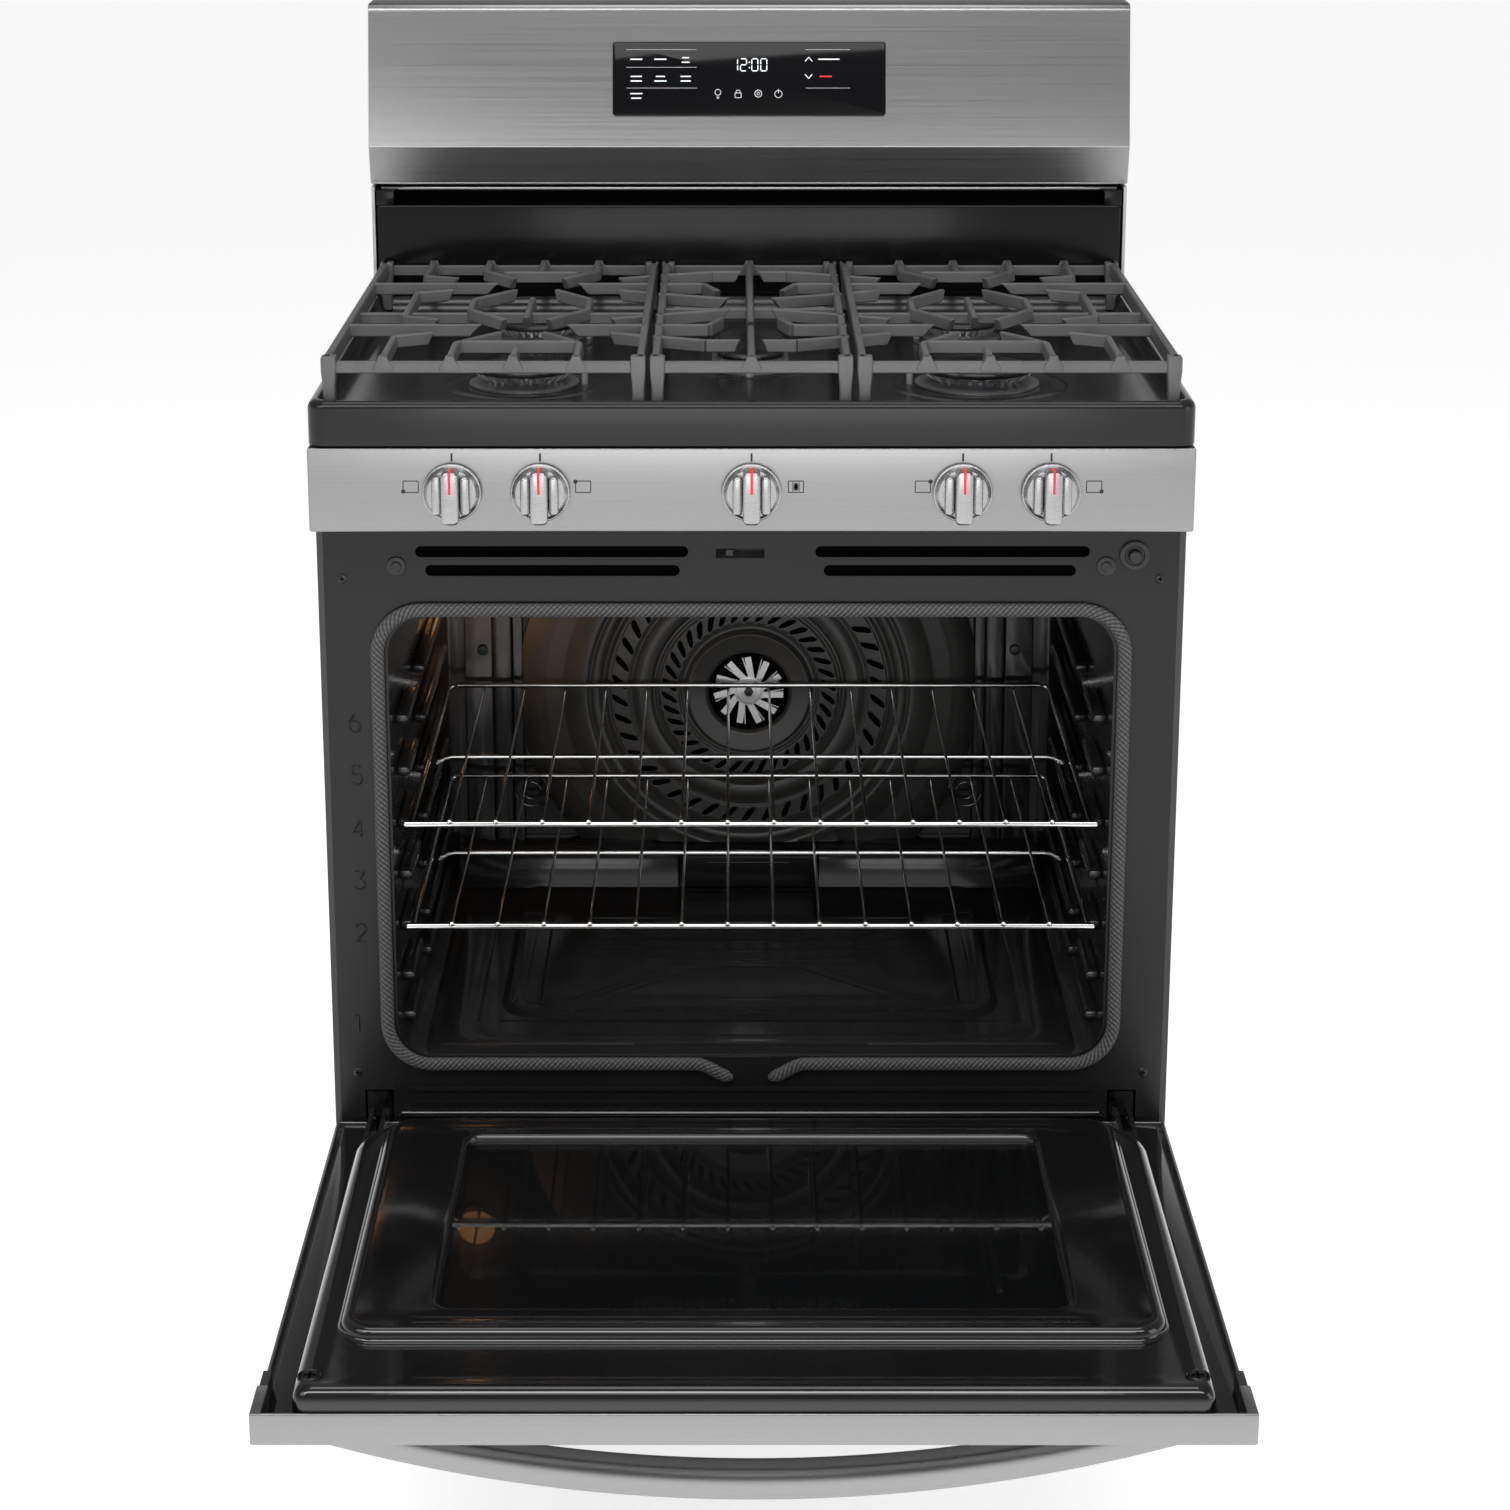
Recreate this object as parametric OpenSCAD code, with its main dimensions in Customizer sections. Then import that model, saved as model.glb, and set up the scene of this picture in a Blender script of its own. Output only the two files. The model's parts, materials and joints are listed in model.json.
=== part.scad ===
// Freestanding gas range, oven door shown open. X is right, -Y is the front, Z is up.
// The origin is the middle of the floor area that the range and its open door cover.

/* [Body] */
// Width of the body
body_w = 759; // [750:1:770]
// Depth from the oven's front frame to the back of the range
body_d = 610; // [605:1:620]
// Height of the cooktop's rim above the floor
cooktop_z = 914; // [910:1:920]
// Height of the top of the backguard
total_h = 1200; // [1195:1:1210]
// Depth of the control panel in front of the oven's front frame
panel_d = 44; // [42:1:46]
// Thickness of the body's sheet metal
sheet = 1.2; // [1:0.1:1.4]

/* [Oven] */
// Width of the oven cavity
cavity_w = 640; // [636:1:642]
// Height of the oven cavity
cavity_h = 417; // [415:1:419]
// Height of the cavity's floor
cavity_z = 297; // [296:1:298]
// Corner radius of the cavity
cavity_r = 35; // [30:1:40]
// Height of the lower rack
rack_low_z = 418.6; // [417:0.2:420]
// Height of the upper rack
rack_high_z = 516; // [514:0.5:518]

/* [Door] */
// Reach of the open door in front of the front frame
door_reach = 574; // [572:1:576]
// Width of the door
door_w = 756; // [752:1:757]
// Bow radius of the handle
handle_bow = 1150; // [1100:10:1250]

/* [Grates] */
// Height of the grates' top edges
grate_z = 949; // [945:1:955]
// Width of a grate bar
bar_w = 6; // [5:0.5:7]

/* [Hidden] */
$fn = 48;
gap = 0.3;                                  // clearance between pieces that move apart
half_w = body_w / 2;
y_frame = (door_reach - body_d) / 2;        // face of the front frame
y_rear = y_frame + body_d;
y_panel = y_frame - panel_d;                // face of the control panel
y_back = y_frame + 490;                     // face of the backsplash
panel_lo = cooktop_z - 113.6;
panel_hi = cooktop_z - 40;
apron_lo = cooktop_z - 38;
well_z = cooktop_z - 19;                    // recessed floor of the cooktop
frame_lo = 222;
frame_hi = panel_lo - 0.4;
frame_hw = half_w - 5.5;
cavity_mid = cavity_z + cavity_h / 2;
cavity_back = y_frame + 480;
baffle_y = y_frame + 464;
fan_z = 507;
insulation_top = 745;
sensor = [262, 655];                        // X and Z of the temperature probe
lamp = [-292, 640];                         // X and Z of the oven lamp
broiler_z = 690;
gas_in = [250, 120];                        // X and Z of the gas supply
power_in = [-250, 120];                     // X and Z of the power supply
knob_z = cooktop_z - 77.5;
knob_push = 3;
knob_x = [-256, -180.5, 0, 180.5, 256];
burner_x = 204;
burner_front_y = 112;
burner_rear_y = 333;
oval_y = 222;
burner_spots = [[-burner_x, burner_front_y, 49.5], [burner_x, burner_front_y, 56],
    [-burner_x, burner_rear_y, 44], [burner_x, burner_rear_y, 38]];
hinge_y = y_frame - 29;                     // axis of the door's hinges
hinge_z = 249;
hinge_x = 336;
pin_r = 4;
bore_r = pin_r + 0.05;                      // running fit on the pins and stems
door_end = y_frame - door_reach;            // far edge of the open door
skin_z = 227;
plateau_z = 278;
handle_y = door_end + 45;
handle_lo = 159.2;
handle_h = 28;
rack_y0 = y_frame + 15;
rack_y1 = y_frame + 452;
rack_hw = 313.5;
wire_gap = 41.6;
latch_x = 40;                               // pivot of the door latch
latch_y = y_frame + 20;
guide_z = [330, 369, 418.6, 467, 516, 566, 615];
feet_x = 345;
feet_y = [20, 560];

hook_z = 768;
switch_at = [335, 769];                     // X and Z of the door's light switch
slot_hi_z = 772;
slot_lo_z = 755;

// rounded rectangle about the origin
module rrect(w, h, r) {
    square([w - 2 * r, h], center = true);
    square([w, h - 2 * r], center = true);
    for (x = [-1, 1], y = [-1, 1])
        translate([x * (w / 2 - r), y * (h / 2 - r)]) circle(r);
}
// box from its low corner to its high corner
module block(a, b) translate(a) cube(b - a);
// outline in X and Z, from y0 back to y1
module plate(y0, y1) translate([0, y1, 0]) rotate([90, 0, 0]) linear_extrude(y1 - y0) children();
// outline in Y and Z, w wide about X = 0
module profile(w) rotate([90, 0, 90]) linear_extrude(w, center = true) children();
// rods along each axis
module rod_x(x0, x1, y, z, r) translate([x0, y, z]) rotate([0, 90, 0]) cylinder(h = x1 - x0, r = r);
module rod_y(x, y0, y1, z, r) translate([x, y1, z]) rotate([90, 0, 0]) cylinder(h = y1 - y0, r = r);
// the same piece on both sides of the range
module sides() {
    children();
    mirror([1, 0, 0]) children();
}

module side_panels() color("dimgray") sides() difference() {
    block([half_w - 20, y_frame, 30], [half_w, y_rear - 4, apron_lo - 0.5]);
    block([half_w - 21, y_frame + sheet, 31.2], [half_w - sheet, y_rear - 5.2, apron_lo - 1.7]);
    block([half_w - 21, y_frame - 1, 29], [half_w - 5.4, y_rear, apron_lo]);
}

module rear_panel() color("gray") difference() {
    block([-half_w + 2, y_rear - 2.4, 52], [half_w - 2, y_rear - sheet, apron_lo - 12]);
    for (x = [gas_in[0], power_in[0]]) block([x - 32, y_rear - 5, 50], [x + 32, y_rear, 152]);
}

module base_frame() color("gray") {
    sides() difference() {
        block([half_w - 40, y_frame + 4, 31.5], [half_w - 6, y_rear - 8, 51]);
        block([half_w - 41, y_frame + 3, 34], [half_w - 8, y_rear, 49]);
        for (y = feet_y) translate([feet_x, y, 25]) cylinder(h = 30, r = 5.05);
    }
    block([-half_w + 40.2, y_frame + 6, 31.5], [half_w - 40.2, y_frame + 24, 51]);
    block([-half_w + 40.2, y_rear - 26, 31.5], [half_w - 40.2, y_rear - 8, 51]);
}

module leveling_legs() color("black") for (x = [-feet_x, feet_x], y = feet_y) translate([x, y, 0]) {
    cylinder(h = 9, r = 17);
    cylinder(h = 22, r = 9);
    cylinder(h = 44, r = 5);
}

module front_slots() {
    for (r = [[-293.5, -55, slot_hi_z], [56, 296, slot_hi_z], [-285, -62.5, slot_lo_z],
            [63.5, 284, slot_lo_z]])
        translate([(r[0] + r[1]) / 2, r[2]]) rrect(r[1] - r[0], 10, 4.9);
    translate([-9.75, 770.5]) square([42.5, 8.5], center = true);
}
module front_frame() color("dimgray") {
    plate(y_frame, y_frame + 1.5) difference() {
        translate([-frame_hw, frame_lo]) square([2 * frame_hw, frame_hi - frame_lo]);
        translate([0, cavity_mid]) rrect(cavity_w, cavity_h, cavity_r);
        front_slots();
        translate(switch_at) circle(6);
        for (s = [-1, 1]) translate([s * (hinge_x + 3), 247]) square([26, 36], center = true);
    }
    for (z = [253, 266]) block([-312, y_frame - 2, z - 1.5], [312, y_frame, z + 1.5]);
    plate(y_frame - 3, y_frame) translate(switch_at) difference() {
        circle(13);
        circle(6);
    }
}

module oven_liner() color("#2c2d30") difference() {
    union() {
        plate(y_frame + 1.5, cavity_back + 1.5) translate([0, cavity_mid])
            rrect(cavity_w + 3, cavity_h + 3, cavity_r + 1.5);
        block([-242, 60, 240], [242, 440, cavity_z]);
    }
    difference() {
        plate(y_frame, cavity_back) translate([0, cavity_mid]) rrect(cavity_w, cavity_h, cavity_r);
        sides() for (z = guide_z) {
            block([307, 185, z - 11], [321, 430, z - 3 - gap]);
            block([307, 20, z - 11], [321, 110, z - 3 - gap]);
        }
    }
    block([-240, 62, 241.5], [240, 438, cavity_z + 1]);
    rod_y(0, cavity_back - 1, cavity_back + 3, fan_z, 14);
    rod_y(lamp[0], cavity_back - 1, cavity_back + 3, lamp[1], 20.2);
    rod_y(sensor[0], cavity_back - 1, cavity_back + 3, sensor[1], 3.2);
    rod_y(0, cavity_back - 1, cavity_back + 3, broiler_z, 11);
    for (x = [-60, 60])
        block([x - 30, 400, cavity_z + cavity_h - 2], [x + 30, 440, cavity_z + cavity_h + 3]);
}

module oven_insulation() color("khaki") {
    sides() block([cavity_w / 2 + 2, y_frame + 4, 290],
        [cavity_w / 2 + 38, cavity_back + 38, insulation_top]);
    block([-320, y_frame + 4, 716.5], [320, 395, insulation_top]);
    block([-320, 398, 716.5], [-95, cavity_back, insulation_top]);
    block([95, 398, 716.5], [320, cavity_back, insulation_top]);
    difference() {
        block([-320, cavity_back + 3, 290], [320, cavity_back + 38, 712]);
        rod_y(0, cavity_back, cavity_back + 50, fan_z, 48);
        rod_y(lamp[0], cavity_back, cavity_back + 50, lamp[1], 26);
        rod_y(sensor[0], cavity_back, cavity_back + 50, sensor[1], 10);
        rod_y(0, cavity_back, cavity_back + 50, broiler_z, 12);
    }
}

// ring of slanted slots centred on radius r
module slot_ring(n, r, length, w) for (i = [0:n - 1]) rotate(i * 360 / n + 4)
    translate([r, 0]) rotate(45) square([length, w], center = true);
module fan_baffle() color("#3a3b3f") plate(baffle_y, baffle_y + 1.2) difference() {
    translate([-285, 345]) square([570, 320]);
    translate([0, fan_z]) {
        circle(41);
        slot_ring(38, 82, 14, 6);
        slot_ring(42, 133, 15, 6.5);
    }
    translate([-300, 600]) square([50, 80]);
    translate([250, 635]) square([50, 80]);
}

module fan_motor() color("silver") difference() {
    union() {
        rod_y(0, cavity_back + 4, cavity_back + 52, fan_z, 40);
        rod_y(0, cavity_back + 2, cavity_back + 4, fan_z, 46);
        rod_y(0, cavity_back - 2, cavity_back + 4, fan_z, 11);
    }
    rod_y(0, cavity_back - 6, cavity_back + 40, fan_z, bore_r);
}

module oven_lamp() color("#fff2c8") {
    rod_y(lamp[0], cavity_back - 14, cavity_back + 1, lamp[1], 19.5);
    rod_y(lamp[0], cavity_back + 1, cavity_back + 45, lamp[1], 16);
}

module oven_burners() color("silver") {
    for (x = [-130, 130]) rod_y(x, 110, 400, 265, 9);
    difference() {
        for (y = [101, 409]) block([-139, y - 9, 256], [139, y + 9, 274]);
        for (y = [101, 409]) block([-120, y - 7, 258], [120, y + 7, 272]);
    }
    rod_y(0, 150, cavity_back + 30, broiler_z, 10);
    difference() {
        block([-150, 60, 702], [150, 395, 713]);
        block([-148, 50, 701], [148, 397, 711.5]);
    }
    sides() block([2, 152, broiler_z - 2], [120, 380, broiler_z]);
}

module temperature_probe() color("silver") {
    rod_y(sensor[0], 330, cavity_back + 22, sensor[1], 3);
    rod_y(sensor[0], cavity_back - 3, cavity_back - 1.2, sensor[1], 9);
}

gasket_w = 658;
gasket_lo = 292;
gasket_hi = 720;
gasket_d = 7.6;
module gasket_band(w) {
    h = gasket_hi - gasket_lo;
    difference() {
        rrect(gasket_w + w, h + w, 40 + w / 2);
        rrect(gasket_w - w, h - w, 40 - w / 2);
    }
}
// three stacked bands, each given as its width and the depths it runs between
module door_gasket() color("lightgray") for (s = [[12.5, 2, 5.6], [9, 0, 2], [9, 5.6, gasket_d]])
    plate(y_frame - s[2], y_frame - s[1]) translate([0, (gasket_lo + gasket_hi) / 2]) difference() {
        gasket_band(s[0]);
        translate([-15, -230]) square([31, 40]);
    }

module cooktop() color("#333438") difference() {
    translate([0, 0, apron_lo]) linear_extrude(cooktop_z - apron_lo) pan_outline(0);
    translate([0, 0, apron_lo - 1]) linear_extrude(well_z - 1.5 - apron_lo + 1) pan_outline(1.5);
    translate([0, 0, well_z]) linear_extrude(30) pan_outline(10);
    translate([0, 0, well_z - 2.6]) linear_extrude(20.1) difference() {
        pan_outline(1.5);
        pan_outline(8.5);
    }
    for (b = burner_spots) translate([b[0], b[1], 880]) cylinder(h = 30, r = b[2] * 0.62);
    translate([0, oval_y, 880]) linear_extrude(30) rrect(44, 110, 21.9);
}
module pan_outline(inset) translate([0, (y_panel + y_back - 0.4) / 2])
    rrect(body_w - 2 * inset, y_back - 0.4 - y_panel - 2 * inset, max(16 - inset, 4));

module burner_bases() color("silver") {
    for (b = burner_spots) translate([b[0], b[1], well_z + 0.2]) difference() {
        union() {
            cylinder(h = 4, r = b[2]);
            cylinder(h = 13, r1 = b[2] * 0.7, r2 = b[2] * 0.86, $fn = 64);
            translate([0, 0, -12]) cylinder(h = 14, r = b[2] * 0.55);
        }
        translate([0, 0, -14]) cylinder(h = 24, r = b[2] * 0.4);
        for (i = [0:23]) rotate(i * 15) translate([b[2] * 0.5, -1, 6]) cube([b[2] * 0.5, 2, 8]);
    }
    translate([0, oval_y, well_z + 0.2]) difference() {
        union() {
            linear_extrude(4) rrect(71, 150, 35.4);
            linear_extrude(13) rrect(56, 134, 27.9);
            translate([0, 0, -12]) linear_extrude(13) rrect(38, 100, 18.9);
        }
        translate([0, 0, -14]) linear_extrude(24) rrect(26, 90, 12.9);
    }
}
module burner_caps() color("#1e1e20") {
    for (b = burner_spots) translate([b[0], b[1], well_z + 13.4]) {
        cylinder(h = 5, r = b[2] * 0.84);
        translate([0, 0, 5]) cylinder(h = 1.6, r = b[2] * 0.76);
    }
    translate([0, oval_y, well_z + 13.4]) {
        linear_extrude(5) rrect(56, 134, 27.9);
        linear_extrude(6.6) rrect(50, 128, 24.9);
    }
}
module igniters() color("white") for (b = concat(burner_spots, [[0, oval_y - 82, -4]]))
    translate([b[0] + (b[0] < 0 ? 1 : -1) * (b[2] + 5), b[1], well_z - 14]) {
        translate([0, 0, 14.2]) cylinder(h = 10, r = 3);
        translate([0, 0, 24]) cylinder(h = 5, r = 1.2);
    }

module control_panel() color("silver") difference() {
    block([-half_w, y_panel, panel_lo], [half_w, y_frame - gap, panel_hi]);
    block([-half_w + 1.5, y_panel + 1.5, panel_lo + 1.5], [half_w - 1.5, y_frame + 1, panel_hi - 1.5]);
    for (x = knob_x) rod_y(x, y_panel - 1, y_panel + 3, knob_z, 9);
}
module manifold_pipe() color("gray") difference() {
    rod_x(-330, 330, y_frame + 24, knob_z, 9.5);
    rod_x(-331, 331, y_frame + 24, knob_z, 7);
}
valve_y = y_frame + 12;
module gas_valves() color("goldenrod") for (x = knob_x) difference() {
    union() {
        block([x - 12, y_frame - 30, knob_z - 12], [x + 12, valve_y, knob_z + 12]);
        rod_y(x, y_frame - 38, y_frame - 30, knob_z, 8);
    }
    rod_y(x, y_frame - 40, y_frame - 4, knob_z, bore_r);
}
// each run is given as its valve's X, its burner's Y and its burner's X
tube_runs = [[knob_x[0], burner_front_y, -burner_x], [knob_x[1], burner_rear_y, -burner_x],
    [0, oval_y, 0], [knob_x[3], burner_rear_y, burner_x], [knob_x[4], burner_front_y, burner_x]];
module burner_tubes() color("silver") for (b = tube_runs) {
    block([min(b[0], b[2]) - 5, 14, 858], [max(b[0], b[2]) + 5, 24, 868]);
    rod_y(b[0], y_frame + 14, 16, 863, 4);
    rod_y(b[2], 22, b[1] + 6, 863, 6);
    translate([b[2], b[1], 857]) cylinder(h = 25, r = 9);
}

arc_r = 9;
guard_tilt = atan2(34, total_h - 4.4 - 1062);
guard_lo = 1024;
guard_top = [for (a = [0:15:75]) [y_frame + 531 - arc_r * cos(a), total_h - arc_r + arc_r * sin(a)]];
// section through the backguard, drawn t inside its skin and open at the rear and below
module guard_outline(t) {
    rear = t > 0 ? y_rear + 5 : y_rear - 1.6;
    low = t > 0 ? guard_lo - 9 : guard_lo;
    polygon(concat(
        [[y_back + 10 + t, low], [y_back + t * 1.1, 1062], [y_frame + 522 + t * 1.1, total_h - arc_r - 4]],
        [for (p = guard_top) p + [t * 1.1, -t]],
        [[rear, total_h - t], [rear, low]]));
}
module backguard_shell() color("silver") difference() {
    profile(door_w) guard_outline(0);
    profile(door_w - 2.6) guard_outline(1.3);
    block([-126, y_back - 5, 1100], [126, y_back + 60, 1156]);
}
module on_guard() translate([0, y_back, 1062]) rotate([-guard_tilt, 0, 0]) children();
module control_glass() color("black") on_guard() translate([0, -0.1, 67.5]) rotate([90, 0, 0])
    linear_extrude(3) rrect(272, 74, 3);
module control_board() color("green") on_guard() {
    translate([0, 6, 67.5]) rotate([90, 0, 0]) linear_extrude(1.6) square([240, 52], center = true);
    translate([60, 18, 67.5]) cube([60, 20, 40], center = true);
}
module backsplash() color("#222326") {
    difference() {
        block([-half_w + 7, y_back, well_z + 2], [half_w - 7, y_back + 100, 1004]);
        block([-half_w + 3, y_back + 1.5, well_z + 1], [half_w - 3, y_back + 101, 1002.5]);
        block([-75, y_back + 25, 1000], [75, y_back + 65, 1010]);
    }
    sides() block([half_w - 24, y_back + 2, 1004], [half_w - 7, y_back + 20, 1018]);
}
module rear_cover() color("gray") {
    block([-half_w + 3, y_rear - sheet, apron_lo + 2], [half_w - 3, y_rear, total_h - 4]);
    sides() block([half_w - 6, y_back + 0.5, apron_lo + 2], [half_w - 3, y_rear - sheet, 1022]);
}
module flue_duct() color("silver") difference() {
    block([-80, 400, 718], [80, 440, 780]);
    block([-78, 402, 717], [78, 438, 781]);
}

module hinge_receivers() color("silver") sides() difference() {
    union() {
        block([hinge_x - 8, y_frame + 2, 231], [hinge_x + 14, y_frame + 80, 263]);
        block([hinge_x - 3, hinge_y - 10, 241], [hinge_x + 3, y_frame + 2, 257]);
    }
    block([hinge_x - 6, y_frame + 4, 233], [hinge_x + 12, y_frame + 78, 261]);
    rod_x(hinge_x - 6, hinge_x + 6, hinge_y, hinge_z, bore_r);
}
module latch_motor() color("gray") {
    block([-60, y_frame + 26, 776], [60, y_frame + 60, 797]);
    difference() {
        block([-60, y_frame + 10, 761], [60, y_frame + 60, 763]);
        translate([latch_x, latch_y, 755]) cylinder(h = 20, r = 3.05);
    }
    block([-60, y_frame + 40, 763], [-50, y_frame + 60, 776]);
}
module latch_hook() color("silver") {
    translate([latch_x, latch_y, hook_z]) cylinder(h = 5, r = 8);
    translate([latch_x, latch_y, hook_z - 9]) cylinder(h = 12, r = 3);
    block([-22, latch_y - 3, hook_z], [latch_x, latch_y + 3, hook_z + 5]);
    block([-22, y_frame + 2.5, hook_z], [-16, latch_y, hook_z + 5]);
}
module light_switch() color("white") {
    rod_y(switch_at[0], y_frame - 8, y_frame + 12, switch_at[1], 5.5);
    rod_y(switch_at[0], y_frame - 8.6, y_frame - 8, switch_at[1], 4.5);
}
module gas_regulator() color("goldenrod") {
    difference() {
        union() {
            rod_y(gas_in[0], y_rear - 60, y_rear - 8, gas_in[1], 16);
            translate([gas_in[0], y_rear - 44, gas_in[1]]) cylinder(h = 34, r = 21);
        }
        rod_y(gas_in[0], y_rear - 32, y_rear, gas_in[1], 9.3);
    }
    translate([gas_in[0], y_rear - 52, gas_in[1] + 34]) cylinder(h = 640, r = 6.5);
}
module power_inlet() color("black") difference() {
    translate([power_in[0], 0, power_in[1]]) block([-35, y_rear - 30, -35], [35, y_rear - 3, 35]);
    translate([power_in[0], 0, power_in[1]]) block([-33, y_rear - 28, -33], [33, y_rear + 1, 33]);
}
module frame_screws() color("silver") {
    for (x = [-358, 358], z = [282.5, 747.5]) rod_y(x, y_frame - 1.6, y_frame, z, 4);
    for (x = [-310.5, 310.5]) rod_y(x, y_frame - 5, y_frame, 759, 8);
    for (x = [-273, 273]) rod_y(x, baffle_y - 2.5, baffle_y, 550, 5);
    sides() rod_x(half_w, half_w + 1.5, y_frame - 22, 816, 4);
}
module drawer_rails() color("silver") sides() block([352, y_frame + 30, 100], [half_w - 2, 540, 122]);

fan_blades = 11;
module fan_blade() color("silver") {
    rod_y(0, baffle_y + 3, baffle_y + 4.2, fan_z, 37);
    rod_y(0, baffle_y - 4, cavity_back - 3, fan_z, 11);
    for (i = [0:fan_blades - 1]) translate([0, baffle_y + 4, fan_z]) rotate([0, i * 360 / fan_blades, 0])
        block([14, 0, -0.6], [36, 7, 0.6]);
    rod_y(0, baffle_y - 6, cavity_back + 36, fan_z, pin_r);
}
module oven_bottom() color("#34363a") difference() {
    block([-252, 48, cavity_z + gap], [252, 439, cavity_z + 3]);
    block([-249, 51, cavity_z], [249, 436, cavity_z + 1.5]);
    sides() block([199, 109, cavity_z - 1], [231, 341, cavity_z + 5]);
}

module stem(x) color("silver") difference() {
    rod_y(x, y_panel - 24, y_frame - 8, knob_z, pin_r);
    block([x - 5, y_panel - 25, knob_z + 2.5], [x + 5, y_panel, knob_z + 6]);
}
skirt_y = y_panel - 4;
module knob(x) color("dimgray") difference() {
    union() {
        rod_y(x, skirt_y - 5, skirt_y, knob_z, 25.4);
        rod_y(x, skirt_y - 8, skirt_y - 5, knob_z, 22);
        block([x - 7.5, skirt_y - 27, knob_z - 23], [x + 7.5, skirt_y - 5, knob_z + 23]);
    }
    intersection() {
        rod_y(x, y_panel - 24 - knob_push - gap, skirt_y + 1, knob_z, bore_r);
        block([x - 5, y_panel - 30, knob_z - 6], [x + 5, skirt_y + 2, knob_z + 2.55]);
    }
}
module valve_stem_1() stem(knob_x[0]);
module valve_stem_2() stem(knob_x[1]);
module valve_stem_3() stem(knob_x[2]);
module valve_stem_4() stem(knob_x[3]);
module valve_stem_5() stem(knob_x[4]);
module knob_1() knob(knob_x[0]);
module knob_2() knob(knob_x[1]);
module knob_3() knob(knob_x[2]);
module knob_4() knob(knob_x[3]);
module knob_5() knob(knob_x[4]);

module rack(z) color("silver") {
    rod_x(-rack_hw + 3, rack_hw - 3, rack_y0, z, 3);
    rod_x(-300, 300, rack_y1, z, 3);
    rod_x(-300, 300, rack_y0 + 205, z - 3, 2.5);
    sides() rod_y(309, rack_y0, rack_y1 - 4, z, 2.7);
    sides() rod_x(298, 309, rack_y1 - 4, z, 2.7);
    for (i = [-6.5:1:6.5]) rod_y(i * wire_gap, rack_y0 - 2, rack_y1, z + 2.2, 1.6);
}
module rack_lower() rack(rack_low_z);
module rack_upper() rack(rack_high_z);

// one straight bar of a grate between two points, from height lo up to height hi
module bar(a, b, w = bar_w) {
    d = b - a;
    translate(a) rotate(atan2(d[1], d[0])) translate([-w / 2, -w / 2]) square([norm(d) + w, w]);
}
module bars(list, w = bar_w) for (p = list) bar([p[0], p[1]], [p[2], p[3]], w);
rail_y = [-36, 466];
finger_lo = grate_z - 11;
rail_lo = grate_z - 14.5;
end_rail_hi = grate_z - 4.5;
module grate_feet(xs) for (x = xs, y = [-34, 454]) {
    block([x - 5, y - 5, well_z + 3], [x + 5, y + 5, grate_z]);
    translate([x, y, well_z + gap]) cylinder(h = 4, r = 4);
}
module side_grate() color("#3b3c3f") {
    translate([0, 0, finger_lo]) linear_extrude(grate_z - finger_lo) {
        for (y = [335, 115]) bars([[-362, y, -245, y], [-162, y, -94, y]]);
        bars([[-258, 464, -258, 410], [-258, 410, -227, 362]]);
        bars([[-150, 464, -150, 410], [-150, 410, -182, 362]]);
        bars([[-222, 300, -258, 250], [-258, 250, -258, 195], [-258, 195, -222, 140]]);
        bars([[-184, 300, -150, 250], [-150, 250, -150, 195], [-150, 195, -184, 140]]);
        bars([[-222, 80, -258, 30], [-258, 30, -258, -34], [-184, 80, -150, 30], [-150, 30, -150, -34]]);
        bars([[-248, 35, -160, 35], [-240, 402, -168, 402]]);
        bars([[-204, 464, -204, 412], [-204, 257, -204, 150], [-204, 7, -204, -34]], 5);
        bars([[-315, 464, -315, 380], [-315, 380, -282, 367], [-282, 300, -315, 285]]);
        bars([[-315, 285, -315, 160], [-315, 160, -282, 143], [-282, 77, -315, 60], [-315, 60, -315, -34]]);
        bars([[-127, 365, -94, 380], [-125, 300, -94, 284], [-127, 147, -94, 163], [-125, 77, -94, 64]]);
    }
    translate([0, 0, rail_lo]) linear_extrude(end_rail_hi - rail_lo) {
        bars([[-362, rail_y[0], -97, rail_y[0]], [-362, rail_y[1], -97, rail_y[1]]], 7);
        bars([[-362, 198, -95, 198]], 6);
    }
    translate([0, 0, rail_lo]) linear_extrude(grate_z - rail_lo)
        bars([[-363, rail_y[0], -363, rail_y[1]], [-95, rail_y[0], -95, rail_y[1]]], 7);
    grate_feet([-361, -97]);
}
module grate_left() side_grate();
module grate_right() mirror([1, 0, 0]) side_grate();
module grate_center() color("#3b3c3f") {
    translate([0, 0, finger_lo]) linear_extrude(grate_z - finger_lo) {
        sides() bars([[45, 335, 83, 335], [45, 335, 30, 295], [40, 115, 83, 115], [40, 115, 27, 150],
            [83, 385, 37, 405], [37, 405, 6, 405], [83, 279, 20, 252], [83, 168, 20, 195], [83, 59, 40, 40],
            [40, 40, 6, 40]]);
        bars([[0, 464, 0, 133], [0, 107, 0, -34]], 5);
    }
    translate([0, 0, rail_lo]) linear_extrude(end_rail_hi - rail_lo) {
        bars([[-80, rail_y[0], 80, rail_y[0]], [-80, rail_y[1], 80, rail_y[1]]], 7);
        bars([[-80, 222, 80, 222]], 5);
    }
    translate([0, 0, rail_lo]) linear_extrude(grate_z - rail_lo)
        sides() bars([[-82, rail_y[0], -82, rail_y[1]]], 7);
    grate_feet([-80, 80]);
}

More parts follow.
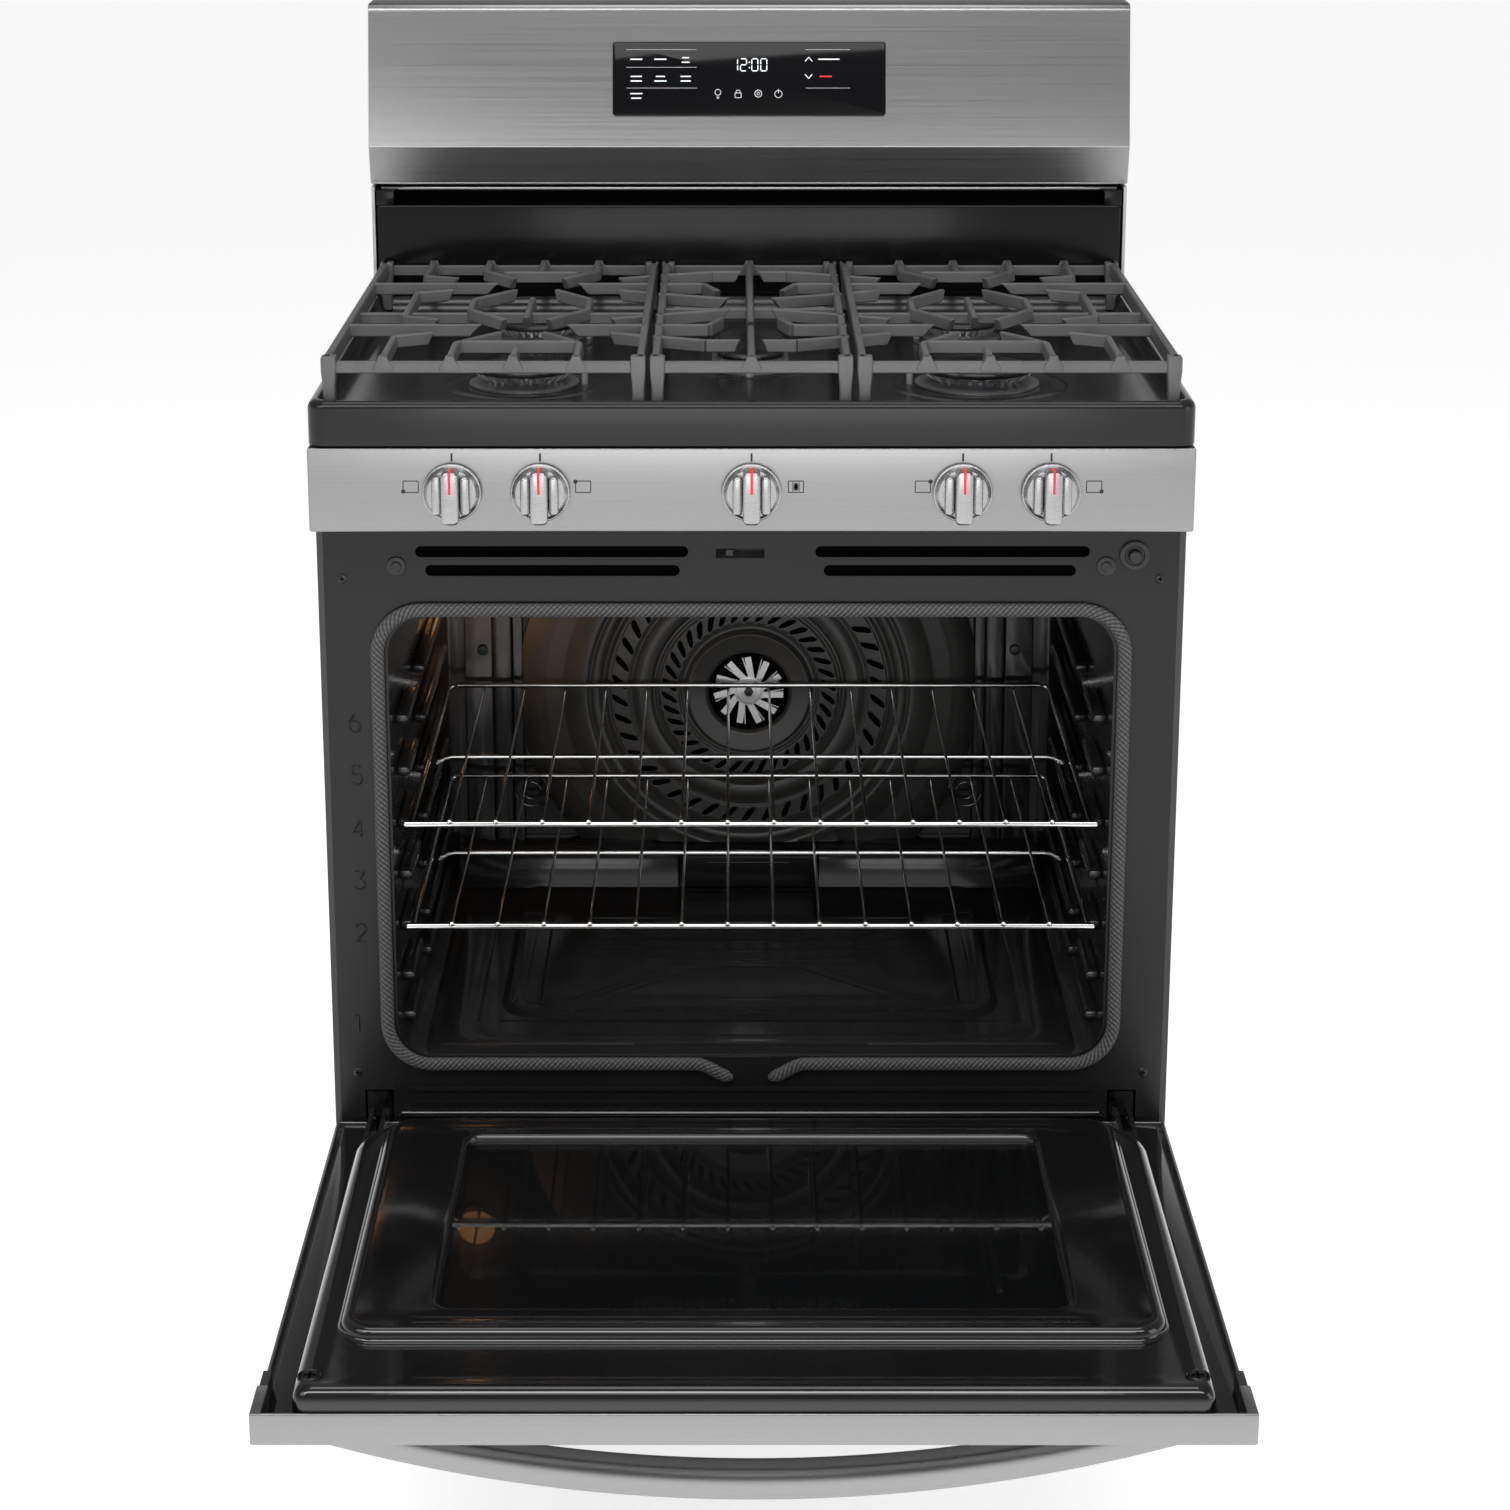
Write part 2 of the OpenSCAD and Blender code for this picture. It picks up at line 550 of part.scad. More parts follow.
module drawer_front() color("silver") difference() {
    block([-door_w / 2, y_panel + 2, 38], [door_w / 2, y_frame - 6, 213]);
    block([-door_w / 2 + 1.2, y_panel + 3.2, 39.2], [door_w / 2 - 1.2, y_frame - 4, 211.8]);
}
module drawer_box() color("gray") {
    difference() {
        block([-345, y_frame - 14, 60], [345, 500, 200]);
        block([-344, y_frame - 13, 61], [344, 499, 201]);
    }
    sides() block([345.2, y_frame - 10, 102], [351.7, 500, 120]);
}

module door_skin() color("silver") difference() {
    union() {
        block([-door_w / 2, door_end, skin_z], [door_w / 2, y_frame - 6, skin_z + 9.5]);
        block([-door_w / 2, door_end, skin_z], [door_w / 2, door_end + sheet, skin_z + 25.6]);
    }
    block([-door_w / 2 + sheet, door_end + sheet, skin_z + sheet],
        [door_w / 2 - sheet, y_frame - 7.2, skin_z + 8.3]);
    block([-348, door_end + sheet + 1, skin_z + 8], [348, y_frame - 9, skin_z + 10]);
    block([-250, -438, skin_z - 1], [250, -128, skin_z + 2]);
    for (x = [-335, 335]) translate([x, door_end + 29, skin_z - 1]) cylinder(h = 4, r = 3.4);
    sides() block([hinge_x - 12, hinge_y - 20, skin_z + 7], [hinge_x + 12, y_frame, skin_z + 12]);
}
module door_outline(inset) polygon([
        [-347 + inset, door_end + 2 + inset], [347 - inset, door_end + 2 + inset],
        [347 - inset, -150 - inset],
        [318 - inset, -125 - inset], [290 - inset, -105 - inset], [270, -84 - inset], [-270, -84 - inset],
        [-290 + inset, -105 - inset], [-318 + inset, -125 - inset], [-347 + inset, -150 - inset]]);
module door_inner_panel() color("#1b1b1d") difference() {
    union() {
        translate([0, 0, skin_z + 9.7]) linear_extrude(270 - skin_z - 9.7) door_outline(0);
        translate([0, -304, 269]) linear_extrude(plateau_z - 269) rrect(628, 386, 25);
    }
    translate([0, 0, skin_z + 9]) linear_extrude(268.8 - skin_z - 9) door_outline(1.2);
    translate([0, -304, 265]) linear_extrude(plateau_z - 1.2 - 265) rrect(624, 382, 23);
    translate([0, -305.5, 260]) linear_extrude(30) rrect(496, 321, 13);
    for (x = [-335, 335]) translate([x, door_end + 29, 260]) cylinder(h = 20, r = 3.4);
    block([-33, -573.5, 265], [14, -563.5, 275]);
    sides() block([hinge_x - 9, -155, skin_z + 9], [hinge_x + 9, -80, 261]);
}
module door_glass_inner() color("#22262a80") translate([0, -305.5, plateau_z - 6.4])
    linear_extrude(5) rrect(516, 341, 13);
module door_glass_outer() color("#22262a80") block([-262, -450, skin_z + 1.3], [262, -116, skin_z + 5.3]);
module door_handle() color("silver") {
    intersection() {
        translate([0, handle_y, handle_lo + handle_h / 2 + handle_bow]) rotate([90, 0, 0])
            rotate_extrude($fn = 360) translate([handle_bow, 0]) rrect(handle_h, 30, 11);
        block([-368, handle_y - 20, 140], [368, handle_y + 20, skin_z - 0.2]);
    }
    for (x = [-335, 335]) translate([x, door_end + 29, 0]) {
        translate([0, 0, 270.2]) cylinder(h = 3.5, r = 8);
        translate([0, 0, skin_z - 0.2]) cylinder(h = 46, r = 3);
    }
}
module door_hinges() color("silver") sides() {
    for (x = [hinge_x - 8, hinge_x + 4]) {
        block([x, -148, 238.5], [x + 4, hinge_y, 260]);
        rod_x(x, x + 4, hinge_y, hinge_z, 10.5);
    }
    rod_x(hinge_x - 8, hinge_x + 8, hinge_y, hinge_z, pin_r);
    block([hinge_x - 8, -146, 238.5], [hinge_x + 8, -118, 241]);
}

side_panels();
rear_panel();
base_frame();
leveling_legs();
front_frame();
oven_liner();
oven_insulation();
fan_baffle();
fan_motor();
oven_lamp();
oven_burners();
temperature_probe();
door_gasket();
cooktop();
burner_bases();
burner_caps();
igniters();
control_panel();
manifold_pipe();
gas_valves();
burner_tubes();
backguard_shell();
backsplash();
rear_cover();
control_glass();
control_board();
hinge_receivers();
latch_motor();
gas_regulator();
power_inlet();
frame_screws();
drawer_rails();
flue_duct();
latch_hook();
light_switch();
fan_blade();
oven_bottom();
valve_stem_1();
valve_stem_2();
valve_stem_3();
valve_stem_4();
valve_stem_5();
knob_1();
knob_2();
knob_3();
knob_4();
knob_5();
rack_lower();
rack_upper();
grate_left();
grate_center();
grate_right();
drawer_front();
drawer_box();
door_skin();
door_inner_panel();
door_glass_inner();
door_glass_outer();
door_handle();
door_hinges();
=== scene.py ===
import json
import math
import bmesh
import bpy
import numpy as np
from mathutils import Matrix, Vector


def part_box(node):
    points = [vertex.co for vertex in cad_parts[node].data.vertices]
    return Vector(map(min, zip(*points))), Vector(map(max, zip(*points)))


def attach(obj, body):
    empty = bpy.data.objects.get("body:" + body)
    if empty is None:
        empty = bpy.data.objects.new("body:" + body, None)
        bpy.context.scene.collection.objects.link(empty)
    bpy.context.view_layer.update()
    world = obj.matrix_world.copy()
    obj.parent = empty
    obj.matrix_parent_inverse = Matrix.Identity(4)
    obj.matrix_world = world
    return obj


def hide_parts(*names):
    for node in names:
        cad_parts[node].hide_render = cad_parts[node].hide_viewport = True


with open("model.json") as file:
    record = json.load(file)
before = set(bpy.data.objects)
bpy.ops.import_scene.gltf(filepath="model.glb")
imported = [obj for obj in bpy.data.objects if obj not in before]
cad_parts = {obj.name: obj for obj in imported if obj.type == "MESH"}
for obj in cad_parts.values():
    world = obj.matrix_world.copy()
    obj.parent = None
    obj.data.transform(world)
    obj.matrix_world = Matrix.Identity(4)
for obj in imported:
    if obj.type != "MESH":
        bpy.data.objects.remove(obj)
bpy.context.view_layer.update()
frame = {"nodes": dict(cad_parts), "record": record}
print("frame loaded")
scene = bpy.context.scene
scene.view_settings.view_transform = "Standard"
mm = 0.001


def boxOf(node):  # corners of a CAD node in millimetres
    low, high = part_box(node)
    return np.array(low) / mm, np.array(high) / mm


# surfaces
def gridFaces(rows, cols, around=True):  # quads between neighbouring rows of points, closed round each row
    r, c = np.meshgrid(np.arange(rows - 1), np.arange(cols if around else cols - 1), indexing="ij")
    a = r * cols + c
    b = r * cols + (c + 1) % cols
    return np.stack([a, b, b + cols, a + cols], -1).reshape(-1, 4)


def loft(rings, capped=True):  # rings is (n, m, 3): quads between the rings and a flat cap on each end
    rings = np.asarray(rings, float)
    n, m = rings.shape[:2]
    faces = gridFaces(n, m).tolist()
    if capped:
        faces += [list(range(m))[::-1], list(range((n - 1) * m, n * m))]
    return rings.reshape(-1, 3), faces


def joined(parts):  # several (points, faces) as one
    points, faces, base = [], [], 0
    for p, f in parts:
        points.append(p)
        faces += [[base + i for i in face] for face in f]
        base += len(p)
    return np.concatenate(points), faces


def roundRect(w, h, r, steps=6):  # rounded rectangle about the origin: four quarter circles in order
    r = max(min(r, w / 2 - 1e-3, h / 2 - 1e-3), 1e-3)
    angle = np.linspace(0, math.pi / 2, steps + 1)[None] + np.arange(4)[:, None] * math.pi / 2
    cx = np.array([1, -1, -1, 1])[:, None] * (w / 2 - r)
    cy = np.array([1, 1, -1, -1])[:, None] * (h / 2 - r)
    return np.stack([cx + r * np.cos(angle), cy + r * np.sin(angle)], -1).reshape(-1, 2)


def onPlane(flat, level, facing="z", centre=(0, 0)):  # 2D outline put at a level along Z, Y or X
    u, v = flat[:, 0] + centre[0], flat[:, 1] + centre[1]
    k = np.full(len(u), float(level))
    return np.stack({"z": [u, v, k], "y": [u, k, v], "x": [k, u, v]}[facing], -1)


# rows of (width, height, corner radius, level), lofted
def shell(rows, facing="z", centre=(0, 0), steps=6):
    return loft([onPlane(roundRect(w, h, r, steps), k, facing, centre) for w, h, r, k in rows])


# box with rounded edges: the outline draws in by a quarter circle at each end
def softBox(low, high, r=1.0, facing="z", corner=None):
    low, high = np.array(low, float), np.array(high, float)
    axes = {"z": (0, 1, 2), "y": (0, 2, 1), "x": (1, 2, 0)}[facing]
    size, mid = high - low, (low + high) / 2
    turn = np.linspace(0, math.pi / 2, 4)
    inset, rise = r * (1 - np.sin(turn)), r * (1 - np.cos(turn))
    corner = r if corner is None else corner
    rows = [(size[axes[0]] - 2 * i, size[axes[1]] - 2 * i, corner - i, low[axes[2]] + k) for i,
        k in zip(inset, rise)]
    rows += [(size[axes[0]] - 2 * i, size[axes[1]] - 2 * i, corner - i, high[axes[2]] - k)
             for i, k in zip(inset[::-1], rise[::-1])]
    return shell(rows, facing, (mid[axes[0]], mid[axes[1]]), 4)


def sweepX(profile, x0, x1, bevel=0.8):  # closed outline in Y and Z carried along X, drawn in at both ends
    profile = np.asarray(profile, float)
    mid = profile.mean(0)
    span = np.abs(profile - mid).max(0)
    shrink = 1 - bevel / span
    ends = [(x0, shrink), (x0 + bevel, 1), (x1 - bevel, 1), (x1, shrink)]
    return loft([np.column_stack([np.full(len(profile), x), mid + (profile - mid) * s]) for x, s in ends])


def tube(path, radius, sides=12, up=(0, 0, 1), ring=False, squashed=1.0):  # circle carried along a path
    path = np.asarray(path, float)
    forward = (np.roll(path, -1, 0) - np.roll(path, 1, 0)) if ring else np.gradient(path, axis=0)
    forward /= np.linalg.norm(forward, axis=1, keepdims=True)
    side = np.cross(forward, np.array(up, float))
    side /= np.linalg.norm(side, axis=1, keepdims=True)
    rise = np.cross(side, forward)
    t = np.linspace(0, 2 * math.pi, sides, endpoint=False)
    radius = np.broadcast_to(np.asarray(radius, float), len(path))
    rings = path[:, None] + radius[:, None, None] * (side[:, None] * np.cos(t)[None, :, None]
                                                     + squashed * rise[:, None] * np.sin(t)[None, :, None])
    if not ring:
        return loft(rings)
    points, faces = loft(np.concatenate([rings, rings[:1]]), False)
    return points, faces


# straight rod with rounded ends: the radius follows a quarter circle at each end
def rod(a, b, r, sides=12, up=(0, 0, 1)):
    a, b = np.array(a, float), np.array(b, float)
    length = np.linalg.norm(b - a)
    turn = np.linspace(0, 1, 4) * math.pi / 2
    along = np.concatenate([r * (1 - np.cos(turn)), length - r * (1 - np.cos(turn))[::-1]])
    size = np.concatenate([np.maximum(r * np.sin(turn), 0.05 * r), np.maximum(r * np.sin(turn),
        0.05 * r)[::-1]])
    return tube(a + (b - a) * (along / length)[:, None], size, sides, up)


# (radius, level) outline turned about an axis through the centre
def spun(profile, centre, facing="z", sides=48):
    profile = np.asarray(profile, float)
    t = np.linspace(0, 2 * math.pi, sides, endpoint=False)
    circle = np.stack([np.cos(t), np.sin(t)], -1)
    return loft([onPlane(circle * max(r, 0.02), k, facing, centre) for r, k in profile])


def drum(r, k0, k1, centre, facing="z", edge=0.8, sides=48):  # disc with rounded rims
    t = np.linspace(0, math.pi / 2, 4)
    step = np.sign(k1 - k0) * edge
    rows = [(r - edge + edge * s, k0 + step * (1 - c)) for s, c in zip(np.sin(t), np.cos(t))]
    rows += [(r - edge + edge * s, k1 - step * (1 - c)) for s, c in zip(np.sin(t[::-1]), np.cos(t[::-1]))]
    return spun(rows, centre, facing, sides)


def piece(name, parts, material, body, replaced=(), sharp=38):
    points, faces = joined(parts) if isinstance(parts, list) else parts
    mesh = bpy.data.meshes.new(name)
    mesh.from_pydata((points * mm).tolist(), [], faces)
    bm = bmesh.new()
    bm.from_mesh(mesh)
    bmesh.ops.remove_doubles(bm, verts=bm.verts, dist=1e-6)
    bmesh.ops.recalc_face_normals(bm, faces=bm.faces)
    bm.to_mesh(mesh)
    bm.free()
    mesh.polygons.foreach_set("use_smooth", np.ones(len(mesh.polygons), bool))
    mesh.set_sharp_from_angle(angle=math.radians(sharp))
    obj = bpy.data.objects.new(name, mesh)
    scene.collection.objects.link(obj)
    mesh.materials.append(material)
    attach(obj, body)
    if replaced:
        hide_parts(*replaced)
    return obj


# materials
def newMaterial(name, colour, rough, metal=0.0, coat=0.0, coatRough=0.1, specular=0.5):
    material = bpy.data.materials.new(name)
    material.use_nodes = True
    shader = material.node_tree.nodes["Principled BSDF"]
    shader.inputs["Base Color"].default_value = (*colour, 1)
    shader.inputs["Roughness"].default_value = rough
    shader.inputs["Metallic"].default_value = metal
    shader.inputs["Coat Weight"].default_value = coat
    shader.inputs["Coat Roughness"].default_value = coatRough
    shader.inputs["Specular IOR Level"].default_value = specular
    return material


# noise on the object's own coordinates, in metres
def noise(material, scale, detail=2.0, stretch=(1, 1, 1)):
    tree = material.node_tree
    where = tree.nodes.new("ShaderNodeTexCoord")
    mapping = tree.nodes.new("ShaderNodeMapping")
    mapping.inputs["Scale"].default_value = stretch
    texture = tree.nodes.new("ShaderNodeTexNoise")
    texture.inputs["Scale"].default_value = scale
    texture.inputs["Detail"].default_value = detail
    tree.links.new(where.outputs["Object"], mapping.inputs["Vector"])
    tree.links.new(mapping.outputs["Vector"], texture.inputs["Vector"])
    return texture.outputs["Fac"]


def ranged(material, value, low, high, inLow=0.3, inHigh=0.7):
    node = material.node_tree.nodes.new("ShaderNodeMapRange")
    node.inputs["From Min"].default_value = inLow
    node.inputs["From Max"].default_value = inHigh
    node.inputs["To Min"].default_value = low
    node.inputs["To Max"].default_value = high
    material.node_tree.links.new(value, node.inputs["Value"])
    return node.outputs["Result"]


def blendColour(material, value, first, second):
    node = material.node_tree.nodes.new("ShaderNodeMix")
    node.data_type = "RGBA"
    node.inputs[6].default_value = (*first, 1)
    node.inputs[7].default_value = (*second, 1)
    material.node_tree.links.new(value, node.inputs[0])
    return node.outputs[2]


def wire(material, value, socket):
    material.node_tree.links.new(value, material.node_tree.nodes["Principled BSDF"].inputs[socket])


def bump(material, value, strength, distance):
    node = material.node_tree.nodes.new("ShaderNodeBump")
    node.inputs["Strength"].default_value = strength
    node.inputs["Distance"].default_value = distance
    material.node_tree.links.new(value, node.inputs["Height"])
    wire(material, node.outputs["Normal"], "Normal")


def brushedSteel(name, colour=(0.32, 0.32, 0.325), rough=(0.27, 0.35)):  # long fine lines along X
    material = newMaterial(name, colour, rough[0], 1.0)
    grain = noise(material, 1.0, 3.0, (2.5, 1200, 1800))
    darker = tuple(c * 0.96 for c in colour)
    wire(material, blendColour(material, ranged(material, grain, 0, 1), darker, colour), "Base Color")
    wire(material, ranged(material, grain, *rough), "Roughness")
    bump(material, grain, 0.02, 0.0002)
    return material


# fired enamel: soft orange peel
def enamel(name, colour, rough=0.22, fleck=0.0, coat=0.6, peel=0.18, peelScale=90.0, specular=0.5):
    material = newMaterial(name, colour, rough, 0.0, coat, 0.08, specular)
    waves = noise(material, peelScale, 2.0)
    cloud = noise(material, 7.0, 3.0)
    lighter = tuple(c * 1.14 + fleck for c in colour)
    wire(material, blendColour(material, ranged(material, cloud, 0, 1), colour, lighter), "Base Color")
    wire(material, ranged(material, cloud, rough * 0.85, rough * 1.2), "Roughness")
    bump(material, waves, peel, 0.0006)
    return material


def castIron(name):  # matte enamelled iron with fine grit
    material = newMaterial(name, (0.08, 0.08, 0.082), 0.5, 0.0, 0.2, 0.4)
    grit = noise(material, 1400.0, 3.0)
    cloud = noise(material, 25.0, 3.0)
    mix = blendColour(material, ranged(material, cloud, 0, 1), (0.080, 0.080, 0.082), (0.110, 0.110, 0.113))
    wire(material, mix, "Base Color")
    wire(material, ranged(material, cloud, 0.42, 0.58), "Roughness")
    bump(material, grit, 0.3, 0.0004)
    return material


def plainMetal(name, colour, rough=(0.15, 0.3), scale=200.0):
    material = newMaterial(name, colour, rough[0], 1.0)
    cloud = noise(material, scale, 3.0)
    wire(material, ranged(material, cloud, *rough), "Roughness")
    wire(material, blendColour(material, ranged(material, cloud, 0, 1), colour,
        tuple(c * 0.93 for c in colour)), "Base Color")
    bump(material, cloud, 0.05, 0.0002)
    return material


def softPlain(name, colour, rough=0.6, scale=300.0):
    material = newMaterial(name, colour, rough)
    cloud = noise(material, scale, 3.0)
    wire(material, blendColour(material, ranged(material, cloud, 0, 1), colour,
        tuple(c * 0.8 for c in colour)), "Base Color")
    wire(material, ranged(material, cloud, rough * 0.9, min(1.0, rough * 1.1)), "Roughness")
    bump(material, cloud, 0.15, 0.0003)
    return material


def glazed(name, colour, rough=0.03, alpha=1.0, coat=0.3, specular=0.5):
    material = newMaterial(name, colour, rough, 0.0, coat, 0.02, specular)
    cloud = noise(material, 4.0, 2.0)
    wire(material, ranged(material, cloud, rough, rough * 1.6), "Roughness")
    material.node_tree.nodes["Principled BSDF"].inputs["Alpha"].default_value = alpha
    return material


def glowing(name, colour, strength, rough=0.5):
    material = newMaterial(name, colour, rough)
    shader = material.node_tree.nodes["Principled BSDF"]
    shader.inputs["Emission Color"].default_value = (*colour, 1)
    shader.inputs["Emission Strength"].default_value = strength
    cloud = noise(material, 800.0, 1.0)
    wire(material, ranged(material, cloud, rough * 0.9, rough), "Roughness")
    return material


def wovenRope(name):  # crossing diagonal strands on the rope's own UV map, which is in metres
    material = newMaterial(name, (0.1, 0.1, 0.1), 0.75)
    tree = material.node_tree
    where = tree.nodes.new("ShaderNodeUVMap")
    where.uv_map = "along"
    heights = []
    for turn, scale in ((0.8, 96.0), (-0.8, 70.0)):
        mapping = tree.nodes.new("ShaderNodeMapping")
        mapping.inputs["Rotation"].default_value = (0, 0, turn)
        wave = tree.nodes.new("ShaderNodeTexWave")
        wave.inputs["Scale"].default_value = scale
        wave.inputs["Distortion"].default_value = 0.0
        tree.links.new(where.outputs["UV"], mapping.inputs["Vector"])
        tree.links.new(mapping.outputs["Vector"], wave.inputs["Vector"])
        heights.append(wave.outputs["Fac"])
    both = tree.nodes.new("ShaderNodeMath")
    both.operation = "MULTIPLY"
    tree.links.new(heights[0], both.inputs[0])
    tree.links.new(ranged(material, heights[1], 0.55, 1.0, 0, 1), both.inputs[1])
    # strands pale on top and near black down in the hollows: the weave is real, the dark in the hollows is
    # painted shade
    wire(material, blendColour(material, both.outputs[0], (0.014, 0.014, 0.015), (0.115, 0.115, 0.12)),
        "Base Color")
    wire(material, ranged(material, both.outputs[0], 0.6, 0.8, 0, 1), "Roughness")
    bump(material, both.outputs[0], 0.7, 0.0005)
    return material


steel = brushedSteel("brushed steel")
steelKnob = brushedSteel("turned steel", (0.42, 0.42, 0.425), (0.22, 0.34))
frameEnamel = enamel("grey frame enamel", (0.0085, 0.0085, 0.0092), 0.26, 0, 0.0, 0.08, 160, 0.35)
topEnamel = enamel("grey cooktop enamel", (0.010, 0.0103, 0.0112), 0.22, 0, 0.05, 0.08, 160, 0.35)
glossBlack = enamel("glossy black enamel", (0.004, 0.004, 0.0045), 0.16, 0, 0.0, 0.05, 120, 0.2)
ovenEnamel = enamel("dark oven enamel", (0.011, 0.011, 0.0115), 0.15, 0.002, 0.12, 0.10, 60)
baffleEnamel = enamel("fan baffle enamel", (0.040, 0.038, 0.036), 0.30, 0, 0.1, 0.06, 160)
fanSteel = plainMetal("fan steel", (0.80, 0.80, 0.80), (0.30, 0.36), 40)
doorEnamel = enamel("black door enamel", (0.006, 0.006, 0.0065), 0.10, 0.0005, 0.5, 0.16, 75)
capEnamel = enamel("burner cap enamel", (0.006, 0.006, 0.0065), 0.28, 0, 0.2, 0.06, 400)
bodyPaint = enamel("side paint", (0.03, 0.03, 0.032), 0.34, 0, 0.1, 0.08, 700)
iron = castIron("grate iron")
chrome = plainMetal("rack chrome", (0.78, 0.77, 0.76), (0.06, 0.14))
brightSteel = plainMetal("bright steel", (0.62, 0.62, 0.62), (0.18, 0.34))
zinc = plainMetal("galvanised steel", (0.46, 0.47, 0.48), (0.34, 0.5), 60)
aluminium = plainMetal("burner aluminium", (0.40, 0.40, 0.41), (0.34, 0.42), 60)
brass = plainMetal("valve brass", (0.60, 0.44, 0.18), (0.25, 0.4))
panelGlass = glazed("control glass", (0.006, 0.006, 0.007), 0.05, 1.0, 0.0, 0.15)
windowGlass = glazed("door window glass", (0.005, 0.0055, 0.006), 0.02, 0.6)
lampGlass = glowing("lamp glass", (0.22, 0.14, 0.07), 0.08)
ceramic = softPlain("white ceramic", (0.35, 0.35, 0.34), 0.5)
board = softPlain("circuit board", (0.02, 0.10, 0.05), 0.5)
plastic = softPlain("black plastic", (0.02, 0.02, 0.021), 0.5)
wool = softPlain("glass wool", (0.6, 0.5, 0.28), 0.9, 90)
rope = wovenRope("woven gasket")
darkMetal = plainMetal("dark phosphate steel", (0.05, 0.05, 0.052), (0.25, 0.4), 120)
# the ridges are pressed in the frame enamel; this lighter metal paints the sheen they catch
ridgeSheenMetal = plainMetal("frame ridge enamel brightened as painted sheen", (0.09, 0.09, 0.095), (0.20, 0.26), 60)
hingeSteel = plainMetal("hinge steel", (0.22, 0.22, 0.225), (0.2, 0.35), 120)
# emissive white: the clock digits are a lit display, but on the printed marks the glow is painted light
whiteDisplayAndPrintGlow = glowing("white display and print with painted glow", (0.8, 0.83, 0.85), 0.5)
# red print given a glow: painted light
redPrintPaintedGlow = glowing("red print with painted glow", (0.75, 0.02, 0.02), 0.5)
markDark = softPlain("dark print", (0.01, 0.01, 0.011), 0.5)
# near black with no specular: painted shade behind the frame slots, the vent gap and the baffle and in the
# screw recesses; also the real black frit round the door window
shadeAndFritBlack = softPlain("painted shade black and window frit", (0.002, 0.002, 0.002), 0.9)
shadeAndFritBlack.node_tree.nodes["Principled BSDF"].inputs["Specular IOR Level"].default_value = 0.0

slotMaterials = {
    "body_paint": bodyPaint, "galvanised_steel": zinc, "dark_enamel": frameEnamel,
        "oven_enamel": ovenEnamel,
    "black_enamel": doorEnamel, "stainless_steel": steel, "knob_metal": steelKnob,
        "bright_steel": brightSteel,
    "rack_chrome": chrome, "grate_iron": iron, "burner_aluminium": aluminium, "valve_brass": brass,
    "gasket_weave": rope, "glass_wool": wool, "black_glass": panelGlass, "window_glass": windowGlass,
    "lamp_glass": lampGlass, "white_ceramic": ceramic, "board_green": board, "black_plastic": plastic}
for entry in frame["record"]["subparts"]:
    holder = frame["nodes"][entry["node"]].data
    holder.materials.clear()
    holder.materials.append(slotMaterials[entry["material_slot"]])
for name in ("door_hinges", "hinge_receivers", "latch_hook"):
    frame["nodes"][name].data.materials[0] = darkMetal
frame["nodes"]["door_hinges"].data.materials[0] = hingeSteel
print("materials ready")

# backguard
guard = {"crease": 1062.0, "strip": 1024.0, "topRadius": 9.0, "tilt": 34.0, "step": 10.0}
low, high = boxOf("backguard_shell")
guardFront, guardTop, guardBack = low[1], high[2], high[1]
faceTop = guardTop - 4.4
arc = np.radians(np.linspace(0, 80, 7))
guardOutline = [(guardFront + guard["step"], guard["strip"]), (guardFront + 0.3, guard["crease"] - 1.5),
                (guardFront, guard["crease"]), (guardFront + 0.6, guard["crease"] + 1.5)]
guardOutline += [(guardFront + guard["tilt"] + 5 - guard["topRadius"] * math.cos(a),
                  guardTop - guard["topRadius"] * (1 - math.sin(a))) for a in arc]
guardOutline += [(guardBack - 1, guardTop), (guardBack, guardTop - 1), (guardBack, guard["strip"])]
piece("backguardShell", sweepX(guardOutline, low[0], high[0], 1.0), steel, "range",
    ["backguard_shell"], 25)
guardAngle = math.atan2(guard["tilt"], faceTop - guard["crease"])


def onGuard(flat, lift):  # points (x, height along the slanted face) raised off that face by lift
    flat = np.asarray(flat, float)
    s, c = math.sin(guardAngle), math.cos(guardAngle)
    return np.column_stack([flat[:, 0], guardFront + flat[:, 1] * s - lift * c, guard["crease"] + flat[:,
        1] * c + lift * s])


def guardPlate(flat, lift0, lift1):  # flat outline on the slanted face with a thickness
    return loft([onGuard(flat, lift0), onGuard(flat, lift1)])


splash = {"lip": 2.6, "bracket": 15.0, "ventTop": 1018.0}
low, high = boxOf("backsplash")
splashTop = 1004.0
piece("backsplash", [softBox(low, [high[0], high[1], splashTop], splash["lip"], "z", 4.0)]
      + [softBox([s * 363.5 - 9, low[1] + 2, splashTop - 1], [s * 363.5 + 9, low[1] + 18,
          splash["ventTop"]], 0.8, "z")
         for s in (-1, 1)], glossBlack, "range", ["backsplash"])
lipY = np.linspace(-1, 1, 41)
lipPath = np.column_stack([lipY * 368, guardFront + 13 + 5 * lipY ** 8, np.full(41, 1019.0)])
piece("guardLip", [tube(lipPath, 2.4, 12),
    rod((-376, guardFront + 10.5, 1024.6), (376, guardFront + 10.5, 1024.6), 1.3)],
      steel, "range")
